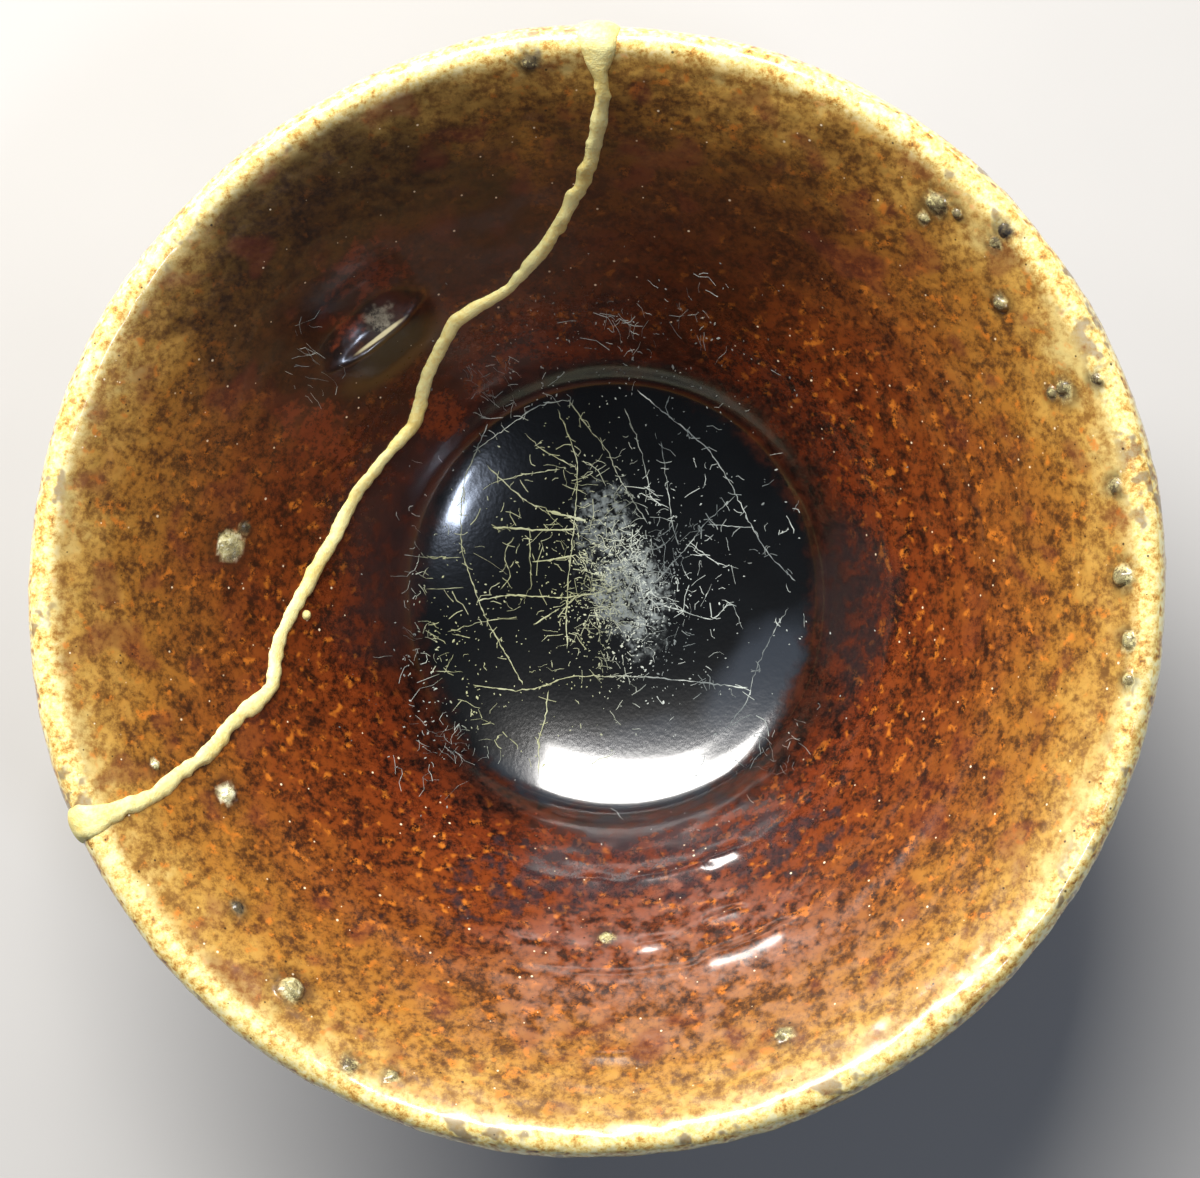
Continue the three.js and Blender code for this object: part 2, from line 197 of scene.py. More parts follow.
# The one drop of gold beside the line: place seen from above, radius, height proud
DROPLET = (-34.9, -2.4, 0.62, 0.5)

# Kiln grit fused into the glaze: place seen from above, reach, height proud, paleness.
# Each grain is part of a flat ball, this many times as deep as it stands proud.
GRAIN_DEPTH = 3
GRAIN_LUMPS, GRAIN_CRUMBS = (0.15, 2.6), (0.04, 0.8)
GRIT = [
    (-42, 5.4, 1.5, 0.65, 0.8), (-41.2, -22.4, 0.95, 0.55, 1), (37.3, 40.8, 1.1, 0.4, 0.55),
    (50.5, 20.8, 0.9, 0.35, 0.5), (56.4, 1.2, 1, 0.4, 0.6), (-32.3, -43.3, 1.2, 0.4, 0.7),
    (36.1, 39.6, 0.6, 0.25, 0.6), (39.4, 39.6, 0.5, 0.2, 0.5), (44.5, 37.4, 0.85, 0.3, 0.15),
    (43.3, 36.3, 0.6, 0.25, 0.5), (44, 30.4, 0.7, 0.3, 0.55), (49.3, 20.7, 0.6, 0.25, 0.5),
    (53.5, 21.6, 0.6, 0.25, 0.4), (55.6, 10.6, 0.7, 0.25, 0.5), (57, -5.6, 0.8, 0.3, 0.7),
    (56.8, -9.7, 0.6, 0.25, 0.6), (-47.9, -19.1, 0.5, 0.25, 0.8), (-38.6, -34.7, 0.7, 0.3, 0.2),
    (-25.3, -51, 0.8, 0.3, 0.5), (-20.9, -52.2, 0.6, 0.25, 0.6), (21, -48.1, 0.8, 0.25, 0.6),
    (0.5, -39.3, 0.7, 0.2, 0.6), (-40.6, 7.4, 0.6, 0.25, 0.3), (-6, 56.9, 0.8, 0.25, 0.3),
]

mm = (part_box("bowl_body")[1].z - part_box("bowl_body")[0].z) / (BOWL_HEIGHT + LIP_WAVE)

lip_centre_radius = RIM_RADIUS - LIP_HALF_THICKNESS
lip_centre_height = BOWL_HEIGHT - LIP_HALF_HEIGHT
inner_lip_radius = lip_centre_radius + LIP_HALF_THICKNESS * math.cos(LIP_START)
inner_lip_height = lip_centre_height + LIP_HALF_HEIGHT * math.sin(LIP_START)
wall_run = inner_lip_radius - WELL_RADIUS
cone_height = WELL_EDGE_HEIGHT + WALL_SLOPE * wall_run + WALL_CURVE * wall_run**2
lip_flare = cone_height - inner_lip_height


def smoothstep(value, low, high):
    share = np.clip((value - low) / (high - low), 0, 1)
    return share * share * (3 - 2 * share)


def bump_of(value, middle, width):
    return np.exp(-(((value - middle) / width) ** 2))


def turn_between(azimuth, other):
    """The angle from one azimuth to another, the short way round"""
    return np.angle(np.exp(1j * (azimuth - other)))


def lengths_along(line, power=1):
    """How far along a line each of its points lies"""
    steps = np.linalg.norm(np.diff(line, axis=0), axis=1) ** power
    return np.concatenate([[0], np.cumsum(steps)])


def points_along(steps, lengths, line):
    """The places on a flat line at some distances along it"""
    return np.stack([np.interp(steps, lengths, line[:, axis]) for axis in (0, 1)], axis=-1)


def turned(radius, azimuth, height):
    """A place at this distance from the axis, azimuth and height"""
    return np.stack([radius * np.cos(azimuth), radius * np.sin(azimuth), height], axis=-1)


def inside_height(radius):
    """Height of the inside surface at a distance from the axis"""
    well_share = np.clip(radius / WELL_RADIUS, 0, 1)
    well = FLOOR_HEIGHT + (WELL_EDGE_HEIGHT - FLOOR_HEIGHT) * well_share**WELL_POWER
    run = np.maximum(radius - WELL_RADIUS, 0)
    lip_share = np.clip(run / wall_run, 0, 1)
    wall = WALL_SLOPE * run + WALL_CURVE * run**2 - lip_flare * lip_share**FLARE_POWER
    for middle, height, width in THROWING_RINGS:
        wall = wall + height * bump_of(radius, middle, width) * (radius > WELL_RADIUS)
    return well + wall


def outside_radius(height):
    """Radius of the outside surface at a height above the foot's shoulder"""
    share = (height - SHOULDER_HEIGHT) / (lip_centre_height - SHOULDER_HEIGHT)
    full = share + WALL_BULGE * np.sin(np.pi * np.clip(share, 0, 1) ** BULGE_POWER)
    roll = GLAZE_ROLL * bump_of(height, GLAZE_END_HEIGHT, GLAZE_ROLL_HEIGHT)
    return SHOULDER_RADIUS + (RIM_RADIUS - SHOULDER_RADIUS) * full + roll


def foot_line():
    """The foot's profile from the shoulder to the axis underneath, with softened corners"""
    corners = np.array([
        (SHOULDER_RADIUS, SHOULDER_HEIGHT),
        (FOOT_RADIUS + FOOT_ROUNDING, FOOT_HEIGHT),
        (FOOT_RADIUS, FOOT_HEIGHT - FOOT_ROUNDING),
        (FOOT_RADIUS, FOOT_ROUNDING),
        (FOOT_RADIUS - FOOT_ROUNDING, 0),
        (FOOT_INNER_RADIUS + FOOT_ROUNDING, 0),
        (FOOT_INNER_RADIUS, FOOT_ROUNDING),
        (FOOT_INNER_RADIUS - FOOT_ROUNDING, FOOT_RECESS),
        (0, FOOT_RECESS),
    ])
    lengths = lengths_along(corners)
    line = points_along(np.linspace(0, lengths[-1], FOOT_POINTS), lengths, corners)
    soft = softened(line, FOOT_SOFTNESS, len(line) - FOOT_SOFTNESS, FOOT_SOFTNESS)
    soft[:, 1] -= soft[:, 1].min()
    return soft


def softened(values, low, high, reach):
    """The values with a running mean taken over part of them"""
    soft = values.copy()
    for index in range(low, high):
        soft[index] = values[index - reach:index + reach + 1].mean(axis=0)
    return soft


def profile_line():
    """The whole profile: inside axis, well, wall, over the lip, outside, foot, axis underneath"""
    radii = np.linspace(0, inner_lip_radius, INSIDE_POINTS)
    heights = inside_height(radii)
    edge = int(INSIDE_POINTS * WELL_RADIUS / inner_lip_radius)
    reach = int(INSIDE_POINTS * WELL_SOFTNESS / inner_lip_radius)
    heights = softened(heights, edge - 2 * reach, edge + 2 * reach, reach)
    inside = np.stack([radii, heights], axis=1)
    angles = np.linspace(LIP_START, 0, LIP_POINTS)[1:]
    lip_radii = lip_centre_radius + LIP_HALF_THICKNESS * np.cos(angles)
    lip_heights = lip_centre_height + LIP_HALF_HEIGHT * np.sin(angles)
    lip = np.stack([lip_radii, lip_heights], axis=1)
    heights = np.linspace(lip_centre_height, SHOULDER_HEIGHT, OUTSIDE_POINTS)[1:-1]
    outside = np.stack([outside_radius(heights), heights], axis=1)
    return inside, lip, outside, foot_line()


inside_part, lip_part, outside_part, foot_part = profile_line()
PROFILE = np.concatenate([inside_part, lip_part, outside_part, foot_part])
PATH = lengths_along(PROFILE)
lip_start = PATH[len(inside_part) - 1]
lip_end = PATH[len(inside_part) + len(lip_part) - 1]
foot_start = PATH[len(inside_part) + len(lip_part) + len(outside_part)]
foot_end = PATH[-1] - FOOT_INNER_RADIUS
TANGENT = np.gradient(PROFILE, PATH, axis=0)
TANGENT /= np.linalg.norm(TANGENT, axis=1)[:, None]


def at_path(path, table):
    return points_along(path, PATH, table)


def path_at_radius(radius):
    """Where on the profile the inside surface has this radius"""
    return np.interp(radius, inside_part[:, 0], PATH[:len(inside_part)])


def waves(points, size, seed, count=26):
    """A smooth random height of about one, a sum of waves about so many millimetres long"""
    random = np.random.default_rng(seed)
    directions = random.normal(size=(count, 3))
    directions /= np.linalg.norm(directions, axis=1)[:, None]
    lengths = size * random.uniform(0.7, 1.6, count)
    phases = random.uniform(0, 2 * np.pi, count)
    turns = points @ (directions * (2 * np.pi / lengths)[:, None]).T
    return np.sin(turns + phases).sum(axis=-1) * math.sqrt(2 / count)


def uneven(points, *kinds):
    """The sum of several kinds of unevenness at some points"""
    return sum(height * waves(points, length, seed) for height, length, seed in kinds)


def dent_relief(path, azimuth):
    """The hollow that a fingertip left, with the flat facet of clay that it pushed up below"""
    along = turn_between(azimuth, DENT_AZIMUTH) * DENT_RIDGE_RADIUS
    up = path - path_at_radius(DENT_RIDGE_RADIUS) - DENT_BEND * along**2 - DENT_TILT * along
    sides = smoothstep(up, -0.2, DENT_DEEPEST) * (1 - smoothstep(up, DENT_DEEPEST, DENT_TOP))
    facet = np.clip((up + DENT_FACET) / (DENT_FACET - 0.1), 0, 1)
    ridge = DENT_RIDGE * facet * (1 - smoothstep(up, -0.1, 1.2))
    across = 1 - smoothstep(np.abs(along), DENT_FULL, DENT_END)
    return (ridge - DENT_DEPTH * sides) * across


def fading_rings(radius, azimuth):
    """Takes the throwing rings away again on the side where the glaze has filled them"""
    off = np.abs(turn_between(azimuth, RINGS_FADE_AZIMUTH))
    rings = sum(height * bump_of(radius, middle, width) for middle, height, width in THROWING_RINGS)
    return -RINGS_FADE_SHARE * (1 - smoothstep(off, RINGS_FADE_NEAR, RINGS_FADE_FAR)) * rings


def ring_crests(radius, azimuth):
    """The sharper crests of the throwing rings, on the side towards the bottom right"""
    points = turned(radius, azimuth, 0 * radius)
    crests = 0
    for middle, turn, reach, height, width in RING_CRESTS:
        off = np.abs(turn_between(azimuth, math.radians(turn)))
        ends = 1 - smoothstep(off, 0.6 * reach, reach)
        crests = crests + height * bump_of(radius, middle, width) * ends
    return crests * smoothstep(uneven(points, CREST_BREAKS), -1.6, -0.2)


def inside_relief(radius, azimuth, points, wall, lower):
    """The finger marks, the pool's edge and the groove, all inside the bowl"""
    trough = POOL_LIP * bump_of(radius, POOL_LIP_RADIUS, POOL_LIP_WIDTH) * np.sin(azimuth) ** 2
    at, turn, full, end, width, depth = GROOVE
    groove = bump_of(radius, at, width) * (1 - smoothstep(np.abs(azimuth - turn), full, end))
    drawn = points * np.array([0.12, 0.12, 1.6])
    rise = fading_rings(radius, azimuth) + ring_crests(radius, azimuth)
    return rise - trough - depth * groove + wall * lower * uneven(drawn, DRAWN_LINES)


def relief(path, azimuth):
    """Height of the fired surface above the plain profile, along its normal"""
    flat = at_path(path, PROFILE)
    radius, height = flat[..., 0], flat[..., 1]
    points = turned(radius, azimuth, height * 1.5)
    glazed = 1 - smoothstep(path, foot_start - 3, foot_start)
    wall = smoothstep(radius, *WALL_FROM)
    inside = 1 - smoothstep(path, lip_start - 2, lip_start + 2)
    outside = smoothstep(path, lip_end, lip_end + 6) * glazed
    lower = smoothstep(np.abs(turn_between(azimuth, RINGS_FADE_AZIMUTH)), *LOWER_SIDE_FROM)
    granular = smoothstep(radius, *GRANULES_FROM) * (1 - outside)
    rise = uneven(points, SWELL, RIPPLE) * (0.3 + 0.7 * wall)
    rise = rise + inside_relief(radius, azimuth, points, wall, lower) * inside
    rise = rise + outside * uneven(points * np.array([0.1, 0.1, 1]), OUTSIDE_FURROWS)
    rise = rise + granular * uneven(points, GRANULES)
    rise = rise + glazed * wall * (0.3 + 0.7 * lower) * uneven(points, FINE_RIPPLE)
    roll_end = GLAZE_END_HEIGHT + uneven(points * np.array([1, 1, 0]), ROLL_WANDER)
    rise = rise + ROLL_RISE * bump_of(height, roll_end, ROLL_WIDTH) * outside
    rise = rise * (0.25 + 0.75 * glazed) * smoothstep(radius, 0, 6)
    return rise + dent_relief(path, azimuth) * inside


def distortion(points):
    """How much wider the fired bowl is at some points than a round one, and how much higher"""
    share = np.clip(points[..., 2] / BOWL_HEIGHT, 0, 1)
    angle = np.arctan2(points[..., 1], points[..., 0])
    stretch = 1 + OUT_OF_ROUND * share * np.cos(2 * (angle - LONG_AXIS))
    return stretch, LIP_WAVE * share**4 * np.cos(2 * (angle - LIP_WAVE_AXIS))


def throw_off_round(points):
    """The same small distortion that the solids have, more so towards the lip"""
    stretch, lift = distortion(points)
    x, y, z = (points[..., axis] for axis in range(3))
    return np.stack([x * stretch, y * stretch, z + lift], axis=-1)


def surface_point(path, azimuth, rise):
    """A place on the surface, lifted along its normal"""
    flat = at_path(path, PROFILE)
    tangent = at_path(path, TANGENT)
    radius = flat[..., 0] - rise * tangent[..., 1]
    height = flat[..., 1] + rise * tangent[..., 0]
    return turned(radius, azimuth, height)


def new_object(name, data):
    thing = bpy.data.objects.new(name, data)
    bpy.context.scene.collection.objects.link(thing)
    return thing


def mesh_object(name, points, faces):
    mesh = bpy.data.meshes.new(name)
    mesh.from_pydata((points * mm).tolist(), [], faces)
    mesh.validate()
    return new_object(name, mesh)


def editable(mesh):
    made = bmesh.new()
    made.from_mesh(mesh)
    return made


def mesh_from(made, name):
    mesh = bpy.data.meshes.new(name)
    made.to_mesh(mesh)
    made.free()
    return mesh


def ring_faces(rings, around, first=0, closed=False):
    """The faces between one ring of points and the next, of a tube or of a closed loop of tube"""
    faces = []
    for ring in range(rings if closed else rings - 1):
        here = first + ring * around
        there = first + (ring + 1) % rings * around
        for corner in range(around):
            beside = (corner + 1) % around
            faces.append((here + corner, there + corner, there + beside, here + beside))
    return faces


def closed_grid(rows, columns, ends):
    """Faces of a tube of rows and columns, closed by a fan to one point at each end"""
    faces = ring_faces(rows, columns)
    first, last = ends
    top = (rows - 1) * columns
    for column in range(columns):
        beside = (column + 1) % columns
        faces.append((first, column, beside))
        faces.append((last, top + beside, top + column))
    return faces


def path_rows():
    """Rows of the fine mesh along the profile, closer together where there is more to show"""
    spans = [
        (INSIDE_STEP, lip_start, INSIDE_STEP), (lip_start, lip_end, LIP_STEP),
        (lip_end, foot_start, OUTSIDE_STEP), (foot_start, foot_end, FOOT_STEP),
        (foot_end, PATH[-1] - RECESS_STEP, RECESS_STEP),
    ]
    rows = [np.linspace(a, b, max(int((b - a) / step), 2), endpoint=False) for a, b, step in spans]
    return np.concatenate(rows)


def fired_bowl():
    """The whole bowl as it came out of the kiln, before it broke"""
    rows = path_rows()
    turns = np.arange(COLUMNS) * (2 * np.pi / COLUMNS)
    path, azimuth = np.meshgrid(rows, turns, indexing="ij")
    points = surface_point(path, azimuth, relief(path, azimuth)).reshape(-1, 3)
    ends = np.array([[0, 0, FLOOR_HEIGHT], [0, 0, FOOT_RECESS]])
    points = throw_off_round(np.concatenate([points, ends]))
    points[:, 2] = np.maximum(points[:, 2], 0)
    count = len(rows) * COLUMNS
    faces = closed_grid(len(rows), COLUMNS, (count, count + 1))
    return mesh_object("fired_bowl", points, faces)


def wall_places(x, y, *heights):
    """Places at some heights above one spot of the wall, which is given as seen from above"""
    path = path_at_radius(math.hypot(x, y))
    azimuth = np.float64(math.atan2(y, x))
    rise = relief(path, azimuth)
    return [throw_off_round(surface_point(path, azimuth, rise + height)) for height in heights]


def kiln_grit():
    """All the grains in one mesh: low, uneven lumps, each sunk into the wall"""
    made = bmesh.new()
    for index, grain in enumerate(GRIT):
        x, y, reach, proud = grain[:4]
        place, above = wall_places(x, y, 0, 1)
        normal = above - place
        half_height = GRAIN_DEPTH * proud
        half_width = reach / math.sqrt(1 - (1 - 1 / GRAIN_DEPTH) ** 2)
        ball = bmesh.ops.create_icosphere(made, subdivisions=3, radius=1)["verts"]
        corners = np.array([corner.co for corner in ball])
        lumps, crumbs = (*GRAIN_LUMPS, 40 + index), (*GRAIN_CRUMBS, 80 + index)
        corners *= (1 + uneven(corners, lumps, crumbs))[:, None] * half_width
        up = corners @ normal
        corners += normal * (up * (half_height / half_width - 1) + proud - half_height)[:, None]
        for corner, moved in zip(ball, corners):
            corner.co = Vector(place + moved) * mm
    return new_object("kiln_grit", mesh_from(made, "kiln_grit"))


def combine(first, second, operation):
    """Joins or cuts the first object's mesh by the second's, which is then removed"""
    change = first.modifiers.new("combine", "BOOLEAN")
    change.operation = operation
    change.solver = "MANIFOLD"
    change.object = second
    graph = bpy.context.evaluated_depsgraph_get()
    changed = bpy.data.meshes.new_from_object(first.evaluated_get(graph))
    first.modifiers.clear()
    first.data = changed
    bpy.data.objects.remove(second)
    return first


def route_table():
    """Radius and azimuth along the break's route, as a smooth curve through its points"""
    points = np.array(BREAK_ROUTE, float)

    def beyond(end, following):
        outwards = end - following
        return end + outwards * (ROUTE_OVERSHOOT / np.linalg.norm(outwards))

    before, after = beyond(points[0], points[1]), beyond(points[-1], points[-2])
    points = np.vstack([before, points, after])
    knots = lengths_along(points, 0.5)
    slopes = np.gradient(points, knots, axis=0)
    curve = []
    for index in range(len(points) - 1):
        gap = knots[index + 1] - knots[index]
        for share in np.linspace(0, 1, 24, endpoint=False):
            weights = (2 * share**3 - 3 * share**2 + 1, share**3 - 2 * share**2 + share,
                       3 * share**2 - 2 * share**3, share**3 - share**2)
            ends = (points[index], slopes[index] * gap, points[index + 1], slopes[index + 1] * gap)
            curve.append(sum(weight * end for weight, end in zip(weights, ends)))
    curve = np.array(curve)
    return np.linalg.norm(curve, axis=1), np.unwrap(np.arctan2(curve[:, 1], curve[:, 0]))


route_radii, route_azimuths = route_table()
route_middle = int(np.argmin(route_radii))


def break_wedge(half_width):
    """A thin solid along the break, through the wall from inside to outside"""
    apex = np.array([0, 0, BREAK_APEX_HEIGHT])
    keep = slice(2, None, 3)
    radius, azimuth = route_radii[keep], route_azimuths[keep]
    path = path_at_radius(np.minimum(radius, inner_lip_radius))
    tangent = at_path(path, TANGENT)
    around = np.stack([np.cos(azimuth), np.sin(azimuth)], axis=1)
    places = np.column_stack([around * radius[:, None], inside_height(radius)])
    normals = np.column_stack([around * -tangent[:, 1:], tangent[:, 0]])
    sides = np.cross(np.gradient(places, axis=0), normals)
    sides /= np.linalg.norm(sides, axis=1)[:, None]
    chip = np.where(np.arange(len(radius)) < len(radius) / 2, BACK_CHIP, LEFT_CHIP)
    spread = half_width + chip * smoothstep(radius, RIM_RADIUS - CHIP_REACH, RIM_RADIUS - 0.5)
    corners = []
    for sign, reach in ((-1, BREAK_NEAR), (1, BREAK_NEAR), (1, BREAK_FAR), (-1, BREAK_FAR)):
        corners.append((places + sides * (sign * spread)[:, None] - apex) * reach + apex)
    points = throw_off_round(np.stack(corners, axis=1).reshape(-1, 3))
    end = (len(radius) - 1) * 4
    faces = [(0, 1, 2, 3), *ring_faces(len(radius), 4), (end + 3, end + 2, end + 1, end)]
    return face_outwards(mesh_object("break_wedge", points, faces))


def face_outwards(thing):
    made = editable(thing.data)
    bmesh.ops.recalc_face_normals(made, faces=made.faces)
    made.to_mesh(thing.data)
    made.free()
    return thing


def part_mesh(mesh, kept):
    """A mesh of only some of another mesh's corners"""
    piece = editable(mesh)
    others = [corner for corner in piece.verts if corner.index not in kept]
    bmesh.ops.delete(piece, geom=others, context="VERTS")
    return mesh_from(piece, "part")


def loose_parts(mesh):
    """The two largest unconnected parts of a mesh, the larger first"""
    whole = editable(mesh)
    unseen = set(whole.verts)
    parts = []
    while unseen:
        queue = [unseen.pop()]
        part = set()
        while queue:
            corner = queue.pop()
            part.add(corner.index)
            beside = {edge.other_vert(corner) for edge in corner.link_edges} & unseen
            unseen -= beside
            queue += beside
        parts.append(part)
    whole.free()
    return [part_mesh(mesh, part) for part in sorted(parts, key=len, reverse=True)[:2]]


def add_field(mesh, name, values):
    field = mesh.attributes.new(name, "FLOAT", "POINT")
    field.data.foreach_set("value", np.asarray(values, np.float32))


def mark_ceramic(mesh):
    """Keeps at each vertex its place along the profile and whether it is on a grain of grit"""
    points = np.empty(len(mesh.vertices) * 3, np.float32)
    mesh.vertices.foreach_get("co", points)
    points = points.reshape(-1, 3) / mm
    stretch, lift = distortion(points)
    radius = np.hypot(points[:, 0], points[:, 1]) / stretch
    height = points[:, 2] - lift
    tree = kdtree.KDTree(len(PROFILE))
    for index, (across, up) in enumerate(PROFILE):
        tree.insert((across, up, 0), index)
    tree.balance()
    found = [tree.find((across, up, 0))[1] for across, up in zip(radius, height)]
    add_field(mesh, "path", PATH[found])
    nearest = np.full(len(points), 9.0)
    paleness = np.zeros(len(points))
    for grain in GRIT:
        distance = np.linalg.norm(points - wall_places(*grain[:2], 0)[0], axis=1) / grain[2]
        paleness = np.where(distance < nearest, grain[4], paleness)
        nearest = np.minimum(nearest, distance)
    add_field(mesh, "stone", 1 - smoothstep(nearest, 1.05, 1.3))
    add_field(mesh, "halo", 1 - smoothstep(nearest, 1.2, 3.2))
    add_field(mesh, "paleness", paleness)


def ceramic_pieces(bowl):
    """The fired bowl broken in two along the joint"""
    bowl = combine(bowl, break_wedge(JOINT_HALF_WIDTH), "DIFFERENCE")
    meshes = loose_parts(bowl.data)
    bpy.data.objects.remove(bowl)
    pieces = []
    for name, mesh in zip(("bowl_body_glazed", "rim_sherd_glazed"), meshes):
        mark_ceramic(mesh)
        mesh.shade_smooth()
        pieces.append(new_object(name, mesh))
    return pieces


def give_paints(thing, *paints):
    mesh = thing.data
    mesh.materials.clear()
    for paint in paints:
        mesh.materials.append(paint)
    mesh.polygons.foreach_set("material_index", [0] * len(mesh.polygons))


def paint_zones(thing, glazes):
    """Gives the wall, the pool and the outside their own glazes, face by face"""
    give_paints(thing, *glazes)
    mesh = thing.data
    path = np.empty(len(mesh.vertices), np.float32)
    mesh.attributes["path"].data.foreach_get("value", path)
    pool_edge = path_at_radius(POOL_ZONE_RADIUS)
    crest = (lip_start + lip_end) / 2
    for face in mesh.polygons:
        middle = sum(path[corner] for corner in face.vertices) / len(face.vertices)
        face.material_index = 1 if middle < pool_edge else 2 if middle > crest else 0


# Long scratches in the pool: half width, then places along each seen from above
POOL_SCRATCHES = [
    (0.1, [(-15, 20.6), (-16, 18.8), (-18.2, 14.2), (-18.8, 9.4), (-18.7, 5.5), (-16, -2.3),
           (-11.3, -10.7)]),
    (0.11, [(-6.8, 22.5), (-5.4, 18.8), (-4.6, 16), (-5, 10.8), (-5.9, 2.3), (-6.2, -2.3), (-6, -6.2)]),
    (0.09, [(-5.5, 23.6), (-3.7, 21), (-0.9, 17.6), (0, 15), (1.9, 11.7), (3.8, 8.8)]),
    (0.08, [(1.2, 22.6), (2.6, 19.2), (3.7, 14.9), (4.2, 11.7), (6.5, 10.6)]),
    (0.08, [(5.5, 18.7), (6.2, 13.3), (6.7, 8.8), (7.5, 6.2)]),
    (0.1, [(2.8, 24.5), (8.3, 20.2), (11.5, 17.4), (14.4, 12.5), (16.3, 8.4), (18.6, 4.7),
           (21.6, 1.8)]),
    (0.08, [(20.8, -1.4), (19.2, -3.9), (17.8, -6.6), (16.6, -9.7), (15.9, -12.7), (13.1, -16.2)]),
    (0.13, [(-16.9, -0.5), (-13.5, 0.2), (-6.4, -0.1), (-2.5, 0.4), (0.2, 1.4)]),
    (0.3, [(-8.6, 10.5), (-6, 9.8), (-3.7, 9.3)]),
    (0.18, [(-15, 8.5), (-9, 8.1), (-5, 8.2)]),
    (0.2, [(-10.2, 4.3), (-7, 4.6), (-5, 5.2)]),
    (0.12, [(-17.2, -10.7), (-12, -11.4), (-9.2, -11), (-6.3, -9.7), (-1.7, -9.6), (4.2, -9.7),
            (15.9, -11)]),
    (0.11, [(-8.3, -11.4), (-8.5, -14.7), (-9.3, -17.2), (-9.1, -21.4)]),
    (0.09, [(4.5, 1.6), (8.7, 6.2), (11, 9.1), (14.4, 12)]),
    (0.08, [(11, 8.7), (16.6, 8.2)]),
    (0.08, [(8.7, 6.7), (12, 4), (14.7, 3.3)]),
    (0.08, [(6.7, -1.3), (11.7, -3), (13.9, -0.5), (15.3, -3.9)]),
    (0.1, [(-15.5, 15.8), (-12, 12.4), (-8.6, 10.3)]),
    (0.11, [(-10.8, 19.7), (-9, 17.8), (-5.2, 15.8)]),
    (0.09, [(-14.8, 13.8), (-11, 14.9), (-6.8, 15.4)]),
    (0.08, [(-10.6, 7.8), (-10.4, 1.4)]),
    (0.08, [(-13, 6.8), (-13.8, 4.3), (-12.5, 2.6), (-14.1, 1)]),
    (0.08, [(-20.3, -4.3), (-15.7, -2.8), (-12, -2.6)]),
    (0.12, [(-10.2, -3.4), (-7, -1.4)]),
    (0.09, [(-17, 17.4), (-13, 20.3), (-9.3, 22.8), (-5.2, 23.6)]),
    (0.09, [(-22.7, 4.8), (-18.7, 4.7)]),
    (0.07, [(-22.8, 0.9), (-18.5, 1.1)]),
    (0.08, [(-21.7, -9), (-18.4, -9.1)]),
]

# Patches of short scratches: middle seen from above, reach, how many, and their length
SCRATCH_PATCHES = [
    ((0, 5), (14, 15), 230, 1.5), ((0.8, 1), (8, 9), 220, 1.1), ((0, 0), (23, 24), 150, 1.2),
    ((-22.2, -6.2), (4, 6), 40, 1.3), ((-19.5, -17.6), (5, 4), 54, 1.3), ((-13.5, 26), (4, 5), 34, 1.4),
    ((1.5, 31.5), (5, 3), 30, 1.6), ((10.5, 32), (4, 4), 22, 1.4), ((-33, 31.5), (2, 6), 12, 1.4),
    ((-33.4, 25.6), (2, 4), 16, 1.1), ((18, -19), (6, 4), 30, 1.3), ((-24.5, 3.5), (3, 6), 18, 1.2),
]
SPECK_PATCHES = [
    ((0.6, 0.5), (7.5, 10), 1000), ((0, 0), (22.5, 24.5), 480), ((-20, -8), (7, 14), 160),
    ((3, 27), (22, 9), 160),
]


def scratch_line(places, random):
    """Points along one long scratch, a little shaky"""
    places = np.array(places, float)
    knots = lengths_along(places)
    steps = np.linspace(0, knots[-1], max(int(knots[-1] / SCRATCH_STEP), 3))
    line = points_along(steps, knots, places)
    soft = line.copy()
    for _ in range(3):
        soft[1:-1] = (soft[:-2] + soft[1:-1] + soft[2:]) / 3
    return soft + random.normal(0, SCRATCH_SHAKE, line.shape)


def twig(middle, length, random):
    """A short scratch of a few straight runs"""
    heading = random.choice(TWIG_HEADINGS) + random.normal(0, 0.35)
    steps = random.integers(2, 5)
    points = [middle]
    for _ in range(steps):
        heading += random.normal(0, 0.45)
        run = length / steps * random.uniform(0.5, 1.5)
        points.append(points[-1] + run * np.array([math.cos(heading), math.sin(heading)]))
    return np.array(points) - (points[-1] - points[0]) / 2


def scattered(middle, reach, count, random):
    """So many places strewn round a middle"""
    for _ in range(count):
        yield np.array(middle) + random.normal(0, 0.5, 2) * reach


def pool_marks():
    """Every scratch and fleck as a line seen from above with its half width at each point"""
    random = np.random.default_rng(5)
    marks = []
    for width, places in POOL_SCRATCHES:
        line = scratch_line(places, random)
        widths = width * random.uniform(*SCRATCH_WIDTHS, len(line))
        widths[0] = widths[-1] = width * SCRATCH_END
        marks.append((line, widths))
        for _ in range(len(line) // BRANCH_EVERY):
            place = line[random.integers(len(line))]
            branch = twig(place, random.uniform(*BRANCH_LENGTHS), random)
            marks.append((branch, np.full(len(branch), BRANCH_HALF_WIDTH)))
    for middle, reach, count, length in SCRATCH_PATCHES:
        for place in scattered(middle, reach, count, random):
            line = twig(place, length * random.lognormal(0, 0.45), random)
            share = BEYOND_POOL_SHARE if np.hypot(*place) > WELL_RADIUS else 1
            thick = random.uniform(*TWIG_WIDTHS) * share
            marks.append((line, thick * random.uniform(*TWIG_TAPER, len(line))))
    for middle, reach, count in SPECK_PATCHES:
        for place in scattered(middle, reach, count, random):
            heading = random.uniform(0, math.pi)
            size = random.lognormal(*FLECK_SIZE)
            step = size * np.array([math.cos(heading), math.sin(heading)])
            line = np.array([place - step, place, place + step])
            marks.append((line, size * np.array(FLECK_SHAPE)))
    return [mark for mark in marks if np.hypot(*mark[0].T).max() < MARK_REACH]


